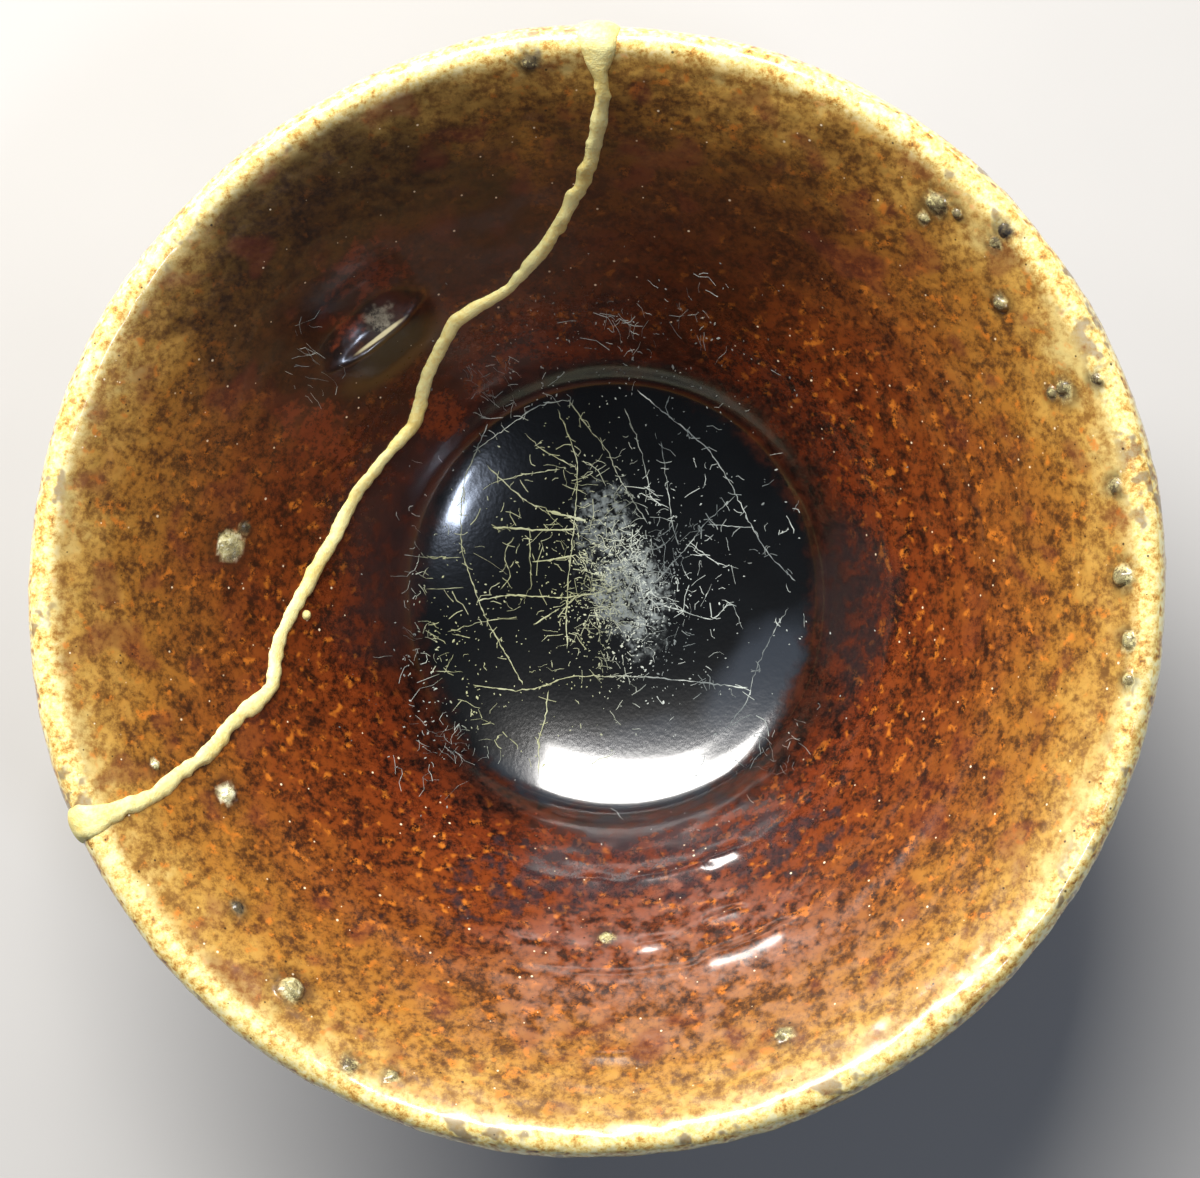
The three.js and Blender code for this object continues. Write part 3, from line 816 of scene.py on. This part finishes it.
def mark_faces(count, first):
    """The faces of one ridge of three-sided section with so many stations"""
    last = first + 3 * (count - 1)
    ends = [(first, first + 1, first + 2), (last + 2, last + 1, last)]
    return ends + ring_faces(count, 3, first)


def pool_wear():
    """The pale scratches and flecks that use has left in the pool and round it,
    each a very low closed ridge that follows the glaze"""
    rails, faces, first = [], [], 0
    for line, widths in pool_marks():
        along = np.gradient(line, axis=0)
        along /= np.maximum(np.linalg.norm(along, axis=1), 1e-6)[:, None]
        side = np.column_stack([-along[:, 1], along[:, 0]]) * widths[:, None]
        corners = ((line - side, -MARK_SUNK), (line + side, -MARK_SUNK), (line, MARK_PROUD))
        corners = [np.insert(places, 2, rise, axis=1) for places, rise in corners]
        rails.append(np.stack(corners, axis=1).reshape(-1, 3))
        faces += mark_faces(len(line), first)
        first += 3 * len(line)
    rails = np.concatenate(rails)
    path = path_at_radius(np.hypot(rails[:, 0], rails[:, 1]))
    turn = np.arctan2(rails[:, 1], rails[:, 0])
    points = throw_off_round(surface_point(path, turn, relief(path, turn) + rails[:, 2]))
    return face_outwards(mesh_object("pool_wear", points, faces))


def apex_slope(radius, height):
    return (BREAK_APEX_HEIGHT - height) / radius


def seam_loop():
    """Stations of the gold round the break as places on the profile and azimuths:
    along the inside, over the lip at the left, back outside and over the lip at the back"""
    slope = apex_slope(route_radii, inside_height(route_radii))
    back, left = slice(route_middle), slice(route_middle, None)
    first = np.argmax(route_radii < inner_lip_radius)
    last = len(route_radii) - np.argmax(route_radii[::-1] < inner_lip_radius)
    inside_paths = path_at_radius(route_radii[first:last])
    inside_turns = route_azimuths[first:last]
    lip_paths = np.linspace(lip_start, lip_end, 40)[1:-1]
    lip_flat = at_path(lip_paths, PROFILE)
    lip_slopes = apex_slope(lip_flat[:, 0], lip_flat[:, 1])
    left_turns = np.interp(-lip_slopes, -slope[left], route_azimuths[left])
    back_turns = np.interp(-lip_slopes, -slope[back][::-1], route_azimuths[back][::-1])
    outside_slopes = apex_slope(outside_part[:, 0], outside_part[:, 1])
    outside_paths = PATH[len(inside_part) + len(lip_part):][:len(outside_part)]
    under = np.interp(slope[first:last], outside_slopes, outside_paths)
    paths = np.concatenate([inside_paths, lip_paths, under[::-1], lip_paths[::-1]])
    turns = np.concatenate([inside_turns, left_turns, inside_turns[::-1], back_turns[::-1]])
    places = surface_point(paths, turns, 0)
    lengths = lengths_along(np.concatenate([places, places[:1]]))
    count = int(lengths[-1] / SEAM_STEP)
    steps = np.arange(count) * lengths[-1] / count
    return [np.interp(steps, lengths, np.append(values, values[0])) for values in (paths, turns)]


def smoothed(values, reach):
    """A running mean round a closed loop"""
    total = sum(np.roll(values, shift) for shift in range(-reach, reach + 1))
    return total / (2 * reach + 1)


def gold_bead():
    """The raised gold line: a closed ring that follows the surface, its edges a little ragged"""
    paths, turns = (smoothed(values, 2) for values in seam_loop())
    flat = at_path(paths, PROFILE)
    step_along = (np.roll(paths, -1) - np.roll(paths, 1)) / 2
    step_round = (np.roll(turns, -1) - np.roll(turns, 1)) / 2 * flat[:, 0]
    length = np.hypot(step_along, step_round)
    side_along, side_round = smoothed(step_round / length, 1), smoothed(-step_along / length, 1)
    places = surface_point(paths, turns, 0)
    rim_near = smoothstep(flat[:, 0], RIM_RADIUS - CHIP_REACH - 1.5, RIM_RADIUS - 1)
    at_back, at_left = rim_near * (turns < BACK_OR_LEFT), rim_near * (turns > BACK_OR_LEFT)
    half_widths = []
    for kinds, back, left in zip((RAGGED_LEFT, RAGGED_RIGHT), BACK_SPREAD, LEFT_SPREAD):
        half_widths.append(SEAM_WIDTH / 2 + uneven(places, *kinds) + back * at_back + left * at_left)
    rise_line = GOLD_HEIGHT * (1 + uneven(places, *RAGGED_TOP))
    section = [(share, rise_line * (1 - abs(share) ** 2.4) ** 0.7 - GOLD_SUNK * abs(share) ** 4)
               for share in np.linspace(-1, 1, SEAM_SECTION)]
    section += [(share, np.full(len(paths), -GOLD_ROOT)) for share in (0.5, 0, -0.5)]
    rings = []
    for share, rise in section:
        reach = half_widths[int(share >= 0)] * share
        path = paths + side_along * reach
        turn = turns + side_round * reach / flat[:, 0]
        rings.append(surface_point(path, turn, rise + relief(path, turn)))
    points = throw_off_round(np.stack(rings, axis=1).reshape(-1, 3))
    faces = ring_faces(len(paths), len(section), closed=True)
    return face_outwards(mesh_object("gold_seam_lacquer", points, faces))


def droplet():
    """The one drop of gold that fell beside the line"""
    x, y, radius, proud = DROPLET
    centre = wall_places(x, y, proud - radius)[0]
    made = bmesh.new()
    ball = bmesh.ops.create_icosphere(made, subdivisions=3, radius=radius)["verts"]
    for corner in ball:
        corner.co = (corner.co + Vector(centre)) * mm
    return new_object("droplet", mesh_from(made, "droplet"))


def gold_seam(bowl):
    """The gold line with its drop, and the lacquer that fills the joint through the wall"""
    filling = combine(break_wedge(WEB_HALF_WIDTH), bowl, "INTERSECT")
    seam = combine(gold_bead(), droplet(), "UNION")
    seam = combine(seam, filling, "UNION")
    seam.name = "gold_seam_lacquer"
    seam.data.shade_smooth()
    return seam


def stage_floor():
    half = FLOOR_HALF_WIDTH
    corners = np.array([(-half, -half, 0), (half, -half, 0), (half, half, 0), (-half, half, 0)])
    floor = mesh_object("floor", corners / mm, [(0, 1, 2, 3)])
    return floor


def aim(thing, place, target):
    """Puts a light or camera at a place, looking at a target with +Y up in the image"""
    forward = (Vector(target) - Vector(place)).normalized()
    right = forward.cross(Vector((0, 1, 0))).normalized()
    upwards = right.cross(forward)
    turn = [[right[row], upwards[row], -forward[row]] for row in range(3)]
    thing.rotation_mode = "QUATERNION"
    thing.rotation_quaternion = Matrix(turn).to_quaternion()
    thing.location = Vector(place) * mm


def make_camera():
    lens = bpy.data.cameras.new("camera")
    lens.sensor_width = SENSOR_WIDTH
    lens.lens = LENS
    lens.clip_start, lens.clip_end = 0.01, 10
    camera = new_object("camera", lens)
    aim(camera, CAMERA_PLACE, CAMERA_TARGET)
    bpy.context.scene.camera = camera


def soft_light(name, place, target, size, watts, colour):
    lamp = bpy.data.lights.new(name, "AREA")
    lamp.shape = "RECTANGLE"
    lamp.size, lamp.size_y = size
    lamp.energy = watts
    lamp.color = colour
    aim(new_object(name, lamp), place, target)


def make_lights():
    level = math.cos(KEY_ELEVATION) * KEY_DISTANCE
    above = LIGHT_TARGET_HEIGHT + math.sin(KEY_ELEVATION) * KEY_DISTANCE
    place = (level * math.cos(KEY_AZIMUTH), level * math.sin(KEY_AZIMUTH), above)
    soft_light("key", place, (0, 0, LIGHT_TARGET_HEIGHT), (0.56, 0.2), 9.6, (1, 0.97, 0.93))
    soft_light("window", (289, -195, 557), (0, 0, 20), (0.035, 0.12), 0.7, (0.7, 0.8, 1))
    world = bpy.data.worlds.new("studio")
    world.use_nodes = True
    background = world.node_tree.nodes["Background"].inputs
    background["Color"].default_value = WORLD_COLOUR
    background["Strength"].default_value = WORLD_STRENGTH
    bpy.context.scene.world = world
    bpy.context.scene.view_settings.view_transform = "Standard"


def shade(red, green, blue):
    """A colour as seen on a screen, 0 to 255, turned into the shader's linear values"""
    def linear(value):
        value /= 255
        return value / 12.92 if value < 0.04045 else ((value + 0.055) / 1.055) ** 2.4
    return (linear(red), linear(green), linear(blue), 1)


def arithmetic(operation, swapped=False):
    """The method that puts a field and another value through one arithmetic node"""
    def work(self, other):
        values = (other, self) if swapped else (self, other)
        return self.paint.sum(operation, *values)
    return work


class Field:
    """A number that varies over a surface, made of shader nodes, with plain arithmetic"""

    def __init__(self, paint, socket):
        self.paint = paint
        self.socket = socket

    __add__ = __radd__ = arithmetic("ADD")
    __sub__ = arithmetic("SUBTRACT")
    __rsub__ = arithmetic("SUBTRACT", swapped=True)
    __mul__ = __rmul__ = arithmetic("MULTIPLY")
    __truediv__ = arithmetic("DIVIDE")
    __pow__ = arithmetic("POWER")
    high = arithmetic("MAXIMUM")

    def size(self):
        return self.paint.sum("ABSOLUTE", self)

    def within(self, start, end):
        """0 below start, 1 beyond end and smooth between; start may be the greater"""
        inputs = {"Value": self, "From Min": start, "From Max": end}
        made = self.paint.node("ShaderNodeMapRange", inputs, interpolation_type="SMOOTHSTEP")
        return Field(self.paint, made.outputs["Result"])


class Paint:
    """Builds one node material whose patterns are measured in the bowl's millimetres"""

    def __init__(self, name):
        self.material = bpy.data.materials.new(name)
        self.material.use_nodes = True
        self.tree = self.material.node_tree
        self.shader = self.tree.nodes["Principled BSDF"]
        place = self.node("ShaderNodeTexCoord").outputs["Object"]
        inputs = {"Vector": place, "Scale": 1 / mm}
        self.place = self.node("ShaderNodeVectorMath", inputs, operation="SCALE").outputs["Vector"]
        split = self.node("ShaderNodeSeparateXYZ", {"Vector": self.place})
        self.x, self.y, self.z = (Field(self, split.outputs[axis]) for axis in "XYZ")
        self.radius = self.span(self.x, self.y)

    def node(self, kind, inputs=None, **settings):
        made = self.tree.nodes.new(kind)
        for name, value in settings.items():
            setattr(made, name, value)
        for name, value in (inputs or {}).items():
            self.put(made.inputs[name], value)
        return made

    def put(self, socket, value):
        if isinstance(value, Field):
            value = value.socket
        if isinstance(value, bpy.types.NodeSocket):
            self.tree.links.new(value, socket)
        else:
            socket.default_value = value

    def sum(self, operation, *values):
        made = self.node("ShaderNodeMath", operation=operation)
        for socket, value in zip(made.inputs, values):
            self.put(socket, value)
        return Field(self, made.outputs[0])

    def span(self, across, up):
        return (across * across + up * up) ** 0.5

    def field(self, name):
        return Field(self, self.node("ShaderNodeAttribute", attribute_name=name).outputs["Fac"])

    def shifted(self, shift, place=None):
        made = self.node("ShaderNodeVectorMath", operation="ADD")
        self.put(made.inputs[0], place or self.place)
        made.inputs[1].default_value = (shift * 17.3, shift * 9.1, shift * 5.7)
        return made.outputs["Vector"]

    def noise(self, size, detail=2, roughness=0.5, place=None, shift=0):
        """Cloudy noise from 0 to 1, about so many millimetres across"""
        inputs = {"Vector": self.shifted(shift, place), "Scale": 1 / size, "Detail": detail,
                  "Roughness": roughness}
        return Field(self, self.node("ShaderNodeTexNoise", inputs).outputs["Fac"])

    def specks(self, size, radius, share, other_share):
        """Round spots of about this radius, in this share of cells of this size,
        and other spots in a second share of the cells"""
        inputs = {"Vector": self.shifted(1), "Scale": 1 / size}
        cells = self.node("ShaderNodeTexVoronoi", inputs)
        distance = Field(self, cells.outputs["Distance"]) * size
        split = self.node("ShaderNodeSeparateColor", {"Color": cells.outputs["Color"]})
        random, spread = Field(self, split.outputs["Red"]), Field(self, split.outputs["Green"])
        reach = (0.4 + 0.6 * spread) * radius
        spot = (distance / reach).within(1.1, 0.6)
        others = random.within(1 - other_share, 1.01 - other_share)
        return spot * random.within(share, share - 0.01), spot * others

    def mix(self, share, first, second, way="MIX"):
        made = self.node("ShaderNodeMix", data_type="RGBA", blend_type=way, clamp_factor=True)
        self.put(made.inputs[0], share)
        self.put(made.inputs[6], first)
        self.put(made.inputs[7], second)
        return made.outputs[2]

    def cover(self, share, *colour):
        """Lays a colour over what is painted so far, as thickly as the share says"""
        self.colour = self.mix(share, self.colour, shade(*colour))

    def clouds(self, fine, tiny):
        """Cloudy noise of three sizes, which the patterns share"""
        self.drift = self.noise(9, 2, 0.6, shift=1) - 0.5
        self.fine = self.noise(*fine, shift=2)
        self.tiny = self.noise(*tiny, shift=3)

    def ramp(self, value, *stops):
        """Colours that follow one another as the value grows"""
        low, high = stops[0][0], stops[-1][0]
        made = self.node("ShaderNodeValToRGB")
        self.put(made.inputs["Fac"], (value - low) / (high - low))
        band = made.color_ramp
        while len(band.elements) < len(stops):
            band.elements.new(0.5)
        for element, (place, *_) in zip(band.elements, stops):
            element.position = (place - low) / (high - low)
        for element, (_, *colour) in zip(band.elements, stops):
            element.color = shade(*colour)
        return made.outputs["Color"]

    def blob(self, x, y, width, height, turn=0, ragged=0):
        """1 at a place seen from above, falling softly to 0 at an ellipse round it"""
        inputs = {"Vector": self.place, "Location": (x, y, 0), "Scale": (width, height, BLOB_DEPTH),
                  "Rotation": (0, 0, math.radians(turn))}
        placed = self.node("ShaderNodeMapping", inputs, vector_type="TEXTURE")
        length = self.node("ShaderNodeVectorMath", operation="LENGTH")
        self.put(length.inputs[0], placed.outputs["Vector"])
        return (Field(self, length.outputs["Value"]) + ragged).within(1.15, 0.55)

    def blobs(self, ragged, *ellipses):
        """The highest of several such patches"""
        patches = [self.blob(*ellipse, ragged=ragged) for ellipse in ellipses]
        return functools.reduce(Field.high, patches)

    def bump(self, height, depth, strength=1):
        """Raises the surface by a height field times so many millimetres"""
        inputs = {"Height": height, "Distance": depth * mm, "Strength": strength}
        return self.node("ShaderNodeBump", inputs).outputs["Normal"]

    def finish(self, **inputs):
        """Connects the colour and the shader's other inputs, and gives the finished material"""
        self.put(self.shader.inputs["Base Color"], self.colour)
        for name, value in inputs.items():
            self.put(self.shader.inputs[name.replace("_", " ")], value)
        return self.material


def amber_wall(paint):
    """The glaze of the inner wall, from dark brown near the pool through rust to amber; painted light
    and shade lie over it
    """
    paint.clouds((2.4, 2, 0.65), (0.8, 3, 0.8))
    fine, tiny, radius = paint.fine, paint.tiny, paint.radius
    warped = radius + paint.drift * 9 + (fine - 0.5) * 6
    light = paint.ramp(
        warped, (22, 30, 17, 15), (27, 74, 34, 20), (32, 128, 54, 20), (40, 146, 70, 24),
        (46, 168, 98, 34), (52, 200, 138, 52), (56, 228, 180, 88), (59, 246, 222, 142))
    dark = paint.ramp(
        warped, (22, 9, 7, 9), (27, 18, 10, 9), (34, 34, 14, 9), (44, 58, 28, 12),
        (52, 104, 64, 24), (57, 172, 124, 56), (60, 234, 202, 124))
    grain = (fine * 0.4 + tiny * 0.6).within(0.37, 0.6)
    paint.colour = paint.mix(grain, dark, light)
    glow = paint.noise(1.5, 1, shift=6).within(0.58, 0.74) * radius.within(27, 34)
    paint.cover(glow * tiny.within(0.4, 0.56) * 0.75, 240, 142, 46)
    # These patches include painted reflections, sheen, shade and highlights
    glaze_patches_and_painted_light(paint)
    paint.colour = paint.mix(1.0, paint.colour, shade(224, 222, 220), "MULTIPLY")
    blush = paint.noise(6, 1, 0.7, shift=7).within(0.56, 0.68) * radius.within(36, 48)
    paint.cover(blush * 0.45, 112, 48, 34)


def glaze_patches_and_painted_light(paint):
    """Darker, rusty and crystalline patches of the glaze, and the painted reflections, sheen, shade and
    highlights laid over the wall
    """
    drift, fine, tiny = paint.drift, paint.fine, paint.tiny
    edge = drift * 0.9
    torn = (fine - 0.5) * 3.4
    # Painted reflection: grey-purple bands left and right of the pool, where the glaze mirrors the room
    painted_reflection_bands = paint.blobs(edge, (-25, 9, 7, 17, -14), (28.5, -1, 5, 12, -6))
    painted_reflection_bands = painted_reflection_bands * (0.6 + 0.4 * fine.within(0.62, 0.44))
    paint.cover(painted_reflection_bands * 0.8, 50, 40, 41)
    # Painted sheen: a pale pinkish veil on the lower wall, where light glances off the glaze
    painted_sheen = paint.blob(8, -42, 26, 9, 8, drift) * fine.within(0.4, 0.6)
    paint.cover(painted_sheen * 0.2, 196, 164, 156)
    # Painted sheen: a grey-purple band on the wall just below the pool
    painted_grey_sheen = paint.blob(5, -30.5, 20, 4.6, 10, torn) * (0.5 + 0.5 * fine.within(0.58, 0.46))
    paint.cover(painted_grey_sheen * 0.6, 62, 50, 56)
    # Darker glaze and painted shade on the far wall at the top
    dark_glaze_and_shade_top = paint.blob(6, 40, 26, 14, -4, drift)
    paint.cover(dark_glaze_and_shade_top * 0.62, 26, 14, 8)
    # Darker glaze and painted shade on the upper left wall
    dark_glaze_and_shade_upper_left = paint.blob(-26, 38, 25, 15, 36, drift * 1.1)
    paint.cover(dark_glaze_and_shade_upper_left * 0.8, 26, 17, 9)
    # Darkens the wall at the left end of the dent
    darker_left_of_dent = paint.blob(-28.5, 26, 13, 10, 40, edge * 0.7)
    paint.cover(darker_left_of_dent * 0.6, 17, 11, 9)
    rust = paint.blobs(torn, (-26.2, 36, 4.2, 2.4, 36), (-28.8, 30.4, 2.4, 1.8, 40),
                       (-33, 19, 3.6, 3, 0), (-20, 21, 2.6, 3, 60))
    rust = rust * (0.3 + 0.7 * tiny.within(0.4, 0.55))
    paint.cover(rust * 0.8, 150, 68, 30)
    # Painted reflection: the olive lens on the facet below the dent's ridge
    facet = paint.blob(-24.4, 27.7, 7.6, 2, 39, edge * 0.2)
    paint.cover(facet * 0.85, 104, 84, 40)
    # Grey crystals in the hollow; their paleness is partly a painted highlight where the light falls
    # there
    crystals = paint.blob(-25.6, 31.6, 2.3, 1.5, 40, torn) * (fine * 0.3 + tiny * 0.7).within(0.36, 0.6)
    paint.cover(crystals * 0.9, 164, 158, 138)
    # Pale line on the ridge's crest: thinner glaze there, and a painted highlight along it
    crest = paint.blob(-25.5, 29.5, 3.7, 0.3, 37, torn * 0.16)
    paint.cover(crest * 0.9, 246, 236, 188)


def lip_band(paint, path):
    """Lays the cream band of the lip over the rest"""
    fine, tiny = paint.fine, paint.tiny
    share = path.within(lip_start - 1.6, lip_start + 0.6) * path.within(lip_end + 2.5, lip_end - 0.4)
    tone = paint.ramp(
        tiny * 0.6 + fine * 0.4, (0.3, 96, 66, 44), (0.4, 204, 152, 70), (0.5, 248, 224, 140),
        (0.6, 255, 246, 190))
    worn = (paint.drift + (fine - 0.5) * 0.8).within(0.1, 0.2)
    band = paint.mix(worn * 0.7, tone, shade(96, 58, 56))
    paint.colour = paint.mix(share, paint.colour, band)


def with_stones(paint):
    """Adds the grains of grit, crystalline and cracked, and the dark glaze pooled round each"""
    fine, tiny = paint.fine, paint.tiny
    stone, halo, paleness = (paint.field(item) for item in ("stone", "halo", "paleness"))
    paint.cover(halo * (1 - stone) * fine.within(0.36, 0.56) * 0.75, 40, 24, 14)
    stony = paint.ramp(
        (paleness + (tiny - 0.5) * 1.6) * 0.8, (0, 34, 27, 24), (0.35, 112, 98, 66),
        (0.6, 196, 186, 130), (0.9, 240, 240, 206))
    cracks = (tiny - fine).size().within(0.05, 0.02)
    stony = paint.mix(cracks * 0.6, stony, shade(40, 34, 22))
    paint.colour = paint.mix(stone, paint.colour, stony)
    return stone


def surface_grain(paint, depth):
    return paint.bump(paint.noise(1.3, 1, 0.6, shift=21) * depth, 0.12, 0.8)


def wall_glaze():
    paint = Paint("glaze_of_the_wall")
    amber_wall(paint)
    radius = paint.radius
    lip_band(paint, paint.field("path"))
    pits, pale_specks_and_glints = paint.specks(1.25, 0.18, 0.4, 0.26)
    paint.cover(pits * radius.within(28, 36) * 0.85, 26, 13, 8)
    # Pale specks over the wall, which also stand in as painted glints
    paint.cover(pale_specks_and_glints * radius.within(27, 33) * 0.9, 255, 236, 200)
    stone = with_stones(paint)
    crystals = paint.blob(-25.3, 31.6, 3, 2.4, 40)
    rough = 0.22 + radius.within(30, 56) * 0.2 + stone * 0.2 + paint.tiny * 0.08 + crystals * 0.3
    normal = surface_grain(paint, radius.within(27, 52) * 0.8 + 0.2)
    return paint.finish(Roughness=rough, Normal=normal, IOR=1.5, Coat_Weight=0.7 - crystals * 0.6,
                        Coat_Roughness=0.14)


def pool_glaze():
    """The black pool of the well, with the grey smear that use has worn in its middle and a painted
    haze round the highlight
    """
    paint = Paint("glaze_of_the_pool")
    amber_wall(paint)
    drift, fine, around = paint.drift, paint.fine, paint.colour
    oval = paint.span(paint.x / 23.4, paint.y / 26)
    pool = (oval + drift * 0.1 + (fine - 0.5) * 0.14).within(1.05, 0.95)
    paint.colour = paint.mix(paint.noise(5, 1, shift=15), shade(5, 6, 8), shade(13, 16, 19))
    ragged = paint.noise(2.2, 3, 0.7, shift=9) - 0.5
    smear = paint.blob(1.4, 0.2, 4.8, 7.2, 10, ragged * 1.8)
    smear = smear.high(paint.blob(-1.4, 9, 3.6, 5, 0, ragged * 2.2))
    smear = smear * paint.noise(0.8, 2, 0.7, shift=10).within(0.36, 0.66)
    paint.cover(smear * 0.65, 138, 148, 148)
    # Painted highlight haze: bluish grey round the highlight at the bottom and lower right of the pool
    painted_haze = paint.blob(2, -21, 22, 6, 8, drift) * 0.7
    painted_haze = painted_haze.high(paint.blob(17.5, -11, 6, 12, -35, drift * 0.8))
    paint.cover(painted_haze * 0.14, 112, 124, 142)
    paint.colour = paint.mix(pool, around, paint.colour)
    normal = paint.bump(paint.noise(0.6, 1, 0.6, shift=33), 0.03, 0.5)
    return paint.finish(Roughness=0.22 + smear * pool * 0.4, Normal=normal, IOR=1.5,
                        Coat_Weight=1 - smear * pool * 0.5, Coat_Roughness=0.1)


def outside_glaze():
    """Dark streaked glaze outside, which stops in a thick roll above bare clay"""
    paint = Paint("glaze_of_the_outside")
    paint.clouds((2.2, 2, 0.6), (0.7, 1, 0.6))
    path = paint.field("path")
    paint.colour = paint.ramp(
        paint.z + paint.drift * 8 + (paint.fine - 0.5) * 5, (9, 22, 13, 10), (18, 34, 18, 12),
        (32, 66, 30, 14), (46, 112, 60, 22), (54, 190, 132, 54), (58, 232, 200, 124))
    drawn = paint.node("ShaderNodeCombineXYZ", {"X": paint.x, "Y": paint.y, "Z": paint.z * 0.2})
    streaks = paint.noise(4, 2, 0.6, place=drawn.outputs["Vector"], shift=16).within(0.4, 0.62)
    paint.cover(streaks * 0.6, 30, 16, 10)
    pits, chalk = paint.specks(1.35, 0.24, 0.35, 0.2)
    paint.cover(pits * 0.6, 18, 10, 8)
    lip_band(paint, path)
    bare = path.within(foot_start - 4.2, foot_start - 3.6)
    clay = paint.mix(paint.noise(2, 3, 0.7, shift=18), shade(112, 74, 52), shade(160, 116, 84))
    clay = paint.mix(chalk, clay, shade(58, 38, 30))
    paint.colour = paint.mix(bare, paint.colour, clay)
    normal = surface_grain(paint, 0.5 + bare * 0.5)
    return paint.finish(Roughness=0.26 + bare * 0.5 + paint.tiny * 0.08, Normal=normal, IOR=1.5,
                        Coat_Weight=(1 - bare) * 0.6, Coat_Roughness=0.08)


def scratch_paint():
    paint = Paint("scratches")
    tone = paint.noise(6, 2, shift=4).within(0.4, 0.6)
    greenish = paint.x.within(6, -8) * paint.radius.within(25, 22) * 0.7
    paint.colour = paint.mix(tone, shade(104, 112, 112), shade(184, 192, 186))
    paint.cover(greenish, 186, 188, 136)
    return paint.finish(Roughness=0.7)


def gold_lacquer():
    """Lacquer dusted with gold and burnished: satin, finely brushed, a little worn"""
    paint = Paint("gold_lacquer")
    fine = paint.noise(0.5, 3, 0.6, shift=1)
    broad = paint.noise(5, 2, shift=2)
    grains = paint.noise(0.16, 2, shift=3)
    tone = (fine * 0.5 + broad * 0.5).within(0.34, 0.62)
    paint.colour = paint.mix(tone, shade(246, 222, 132), shade(255, 248, 176))
    worn = paint.noise(2.6, 3, 0.7, shift=4).within(0.66, 0.74)
    paint.cover(worn * 0.35, 190, 140, 70)
    normal = paint.bump(fine * 0.6 + grains * 0.4, 0.14, 1)
    return paint.finish(Metallic=0.1, Roughness=0.5 + grains * 0.14 + worn * 0.12, Normal=normal)


def floor_paint():
    paint = Paint("pale_floor")
    paint.colour = paint.mix(paint.noise(60, 3), shade(182, 181, 179), shade(194, 193, 191))
    return paint.finish(Roughness=0.8)


make_camera()
make_lights()
floor = stage_floor()
whole = combine(fired_bowl(), kiln_grit(), "UNION")
seam = gold_seam(new_object("cutter", whole.data.copy()))
body, sherd = ceramic_pieces(whole)
wear = pool_wear()
glazes = (wall_glaze(), pool_glaze(), outside_glaze())
paint_zones(body, glazes)
paint_zones(sherd, glazes)
give_paints(seam, gold_lacquer())
give_paints(wear, scratch_paint())
give_paints(floor, floor_paint())

for piece, node, slot in (
    (body, "bowl_body", "iron_glaze"),
    (sherd, "rim_sherd", "iron_glaze"),
    (seam, "gold_seam", "gold_lacquer"),
    (wear, "bowl_body", "iron_glaze"),
):
    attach(piece, "root")
    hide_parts(node)

bpy.context.view_layer.update()
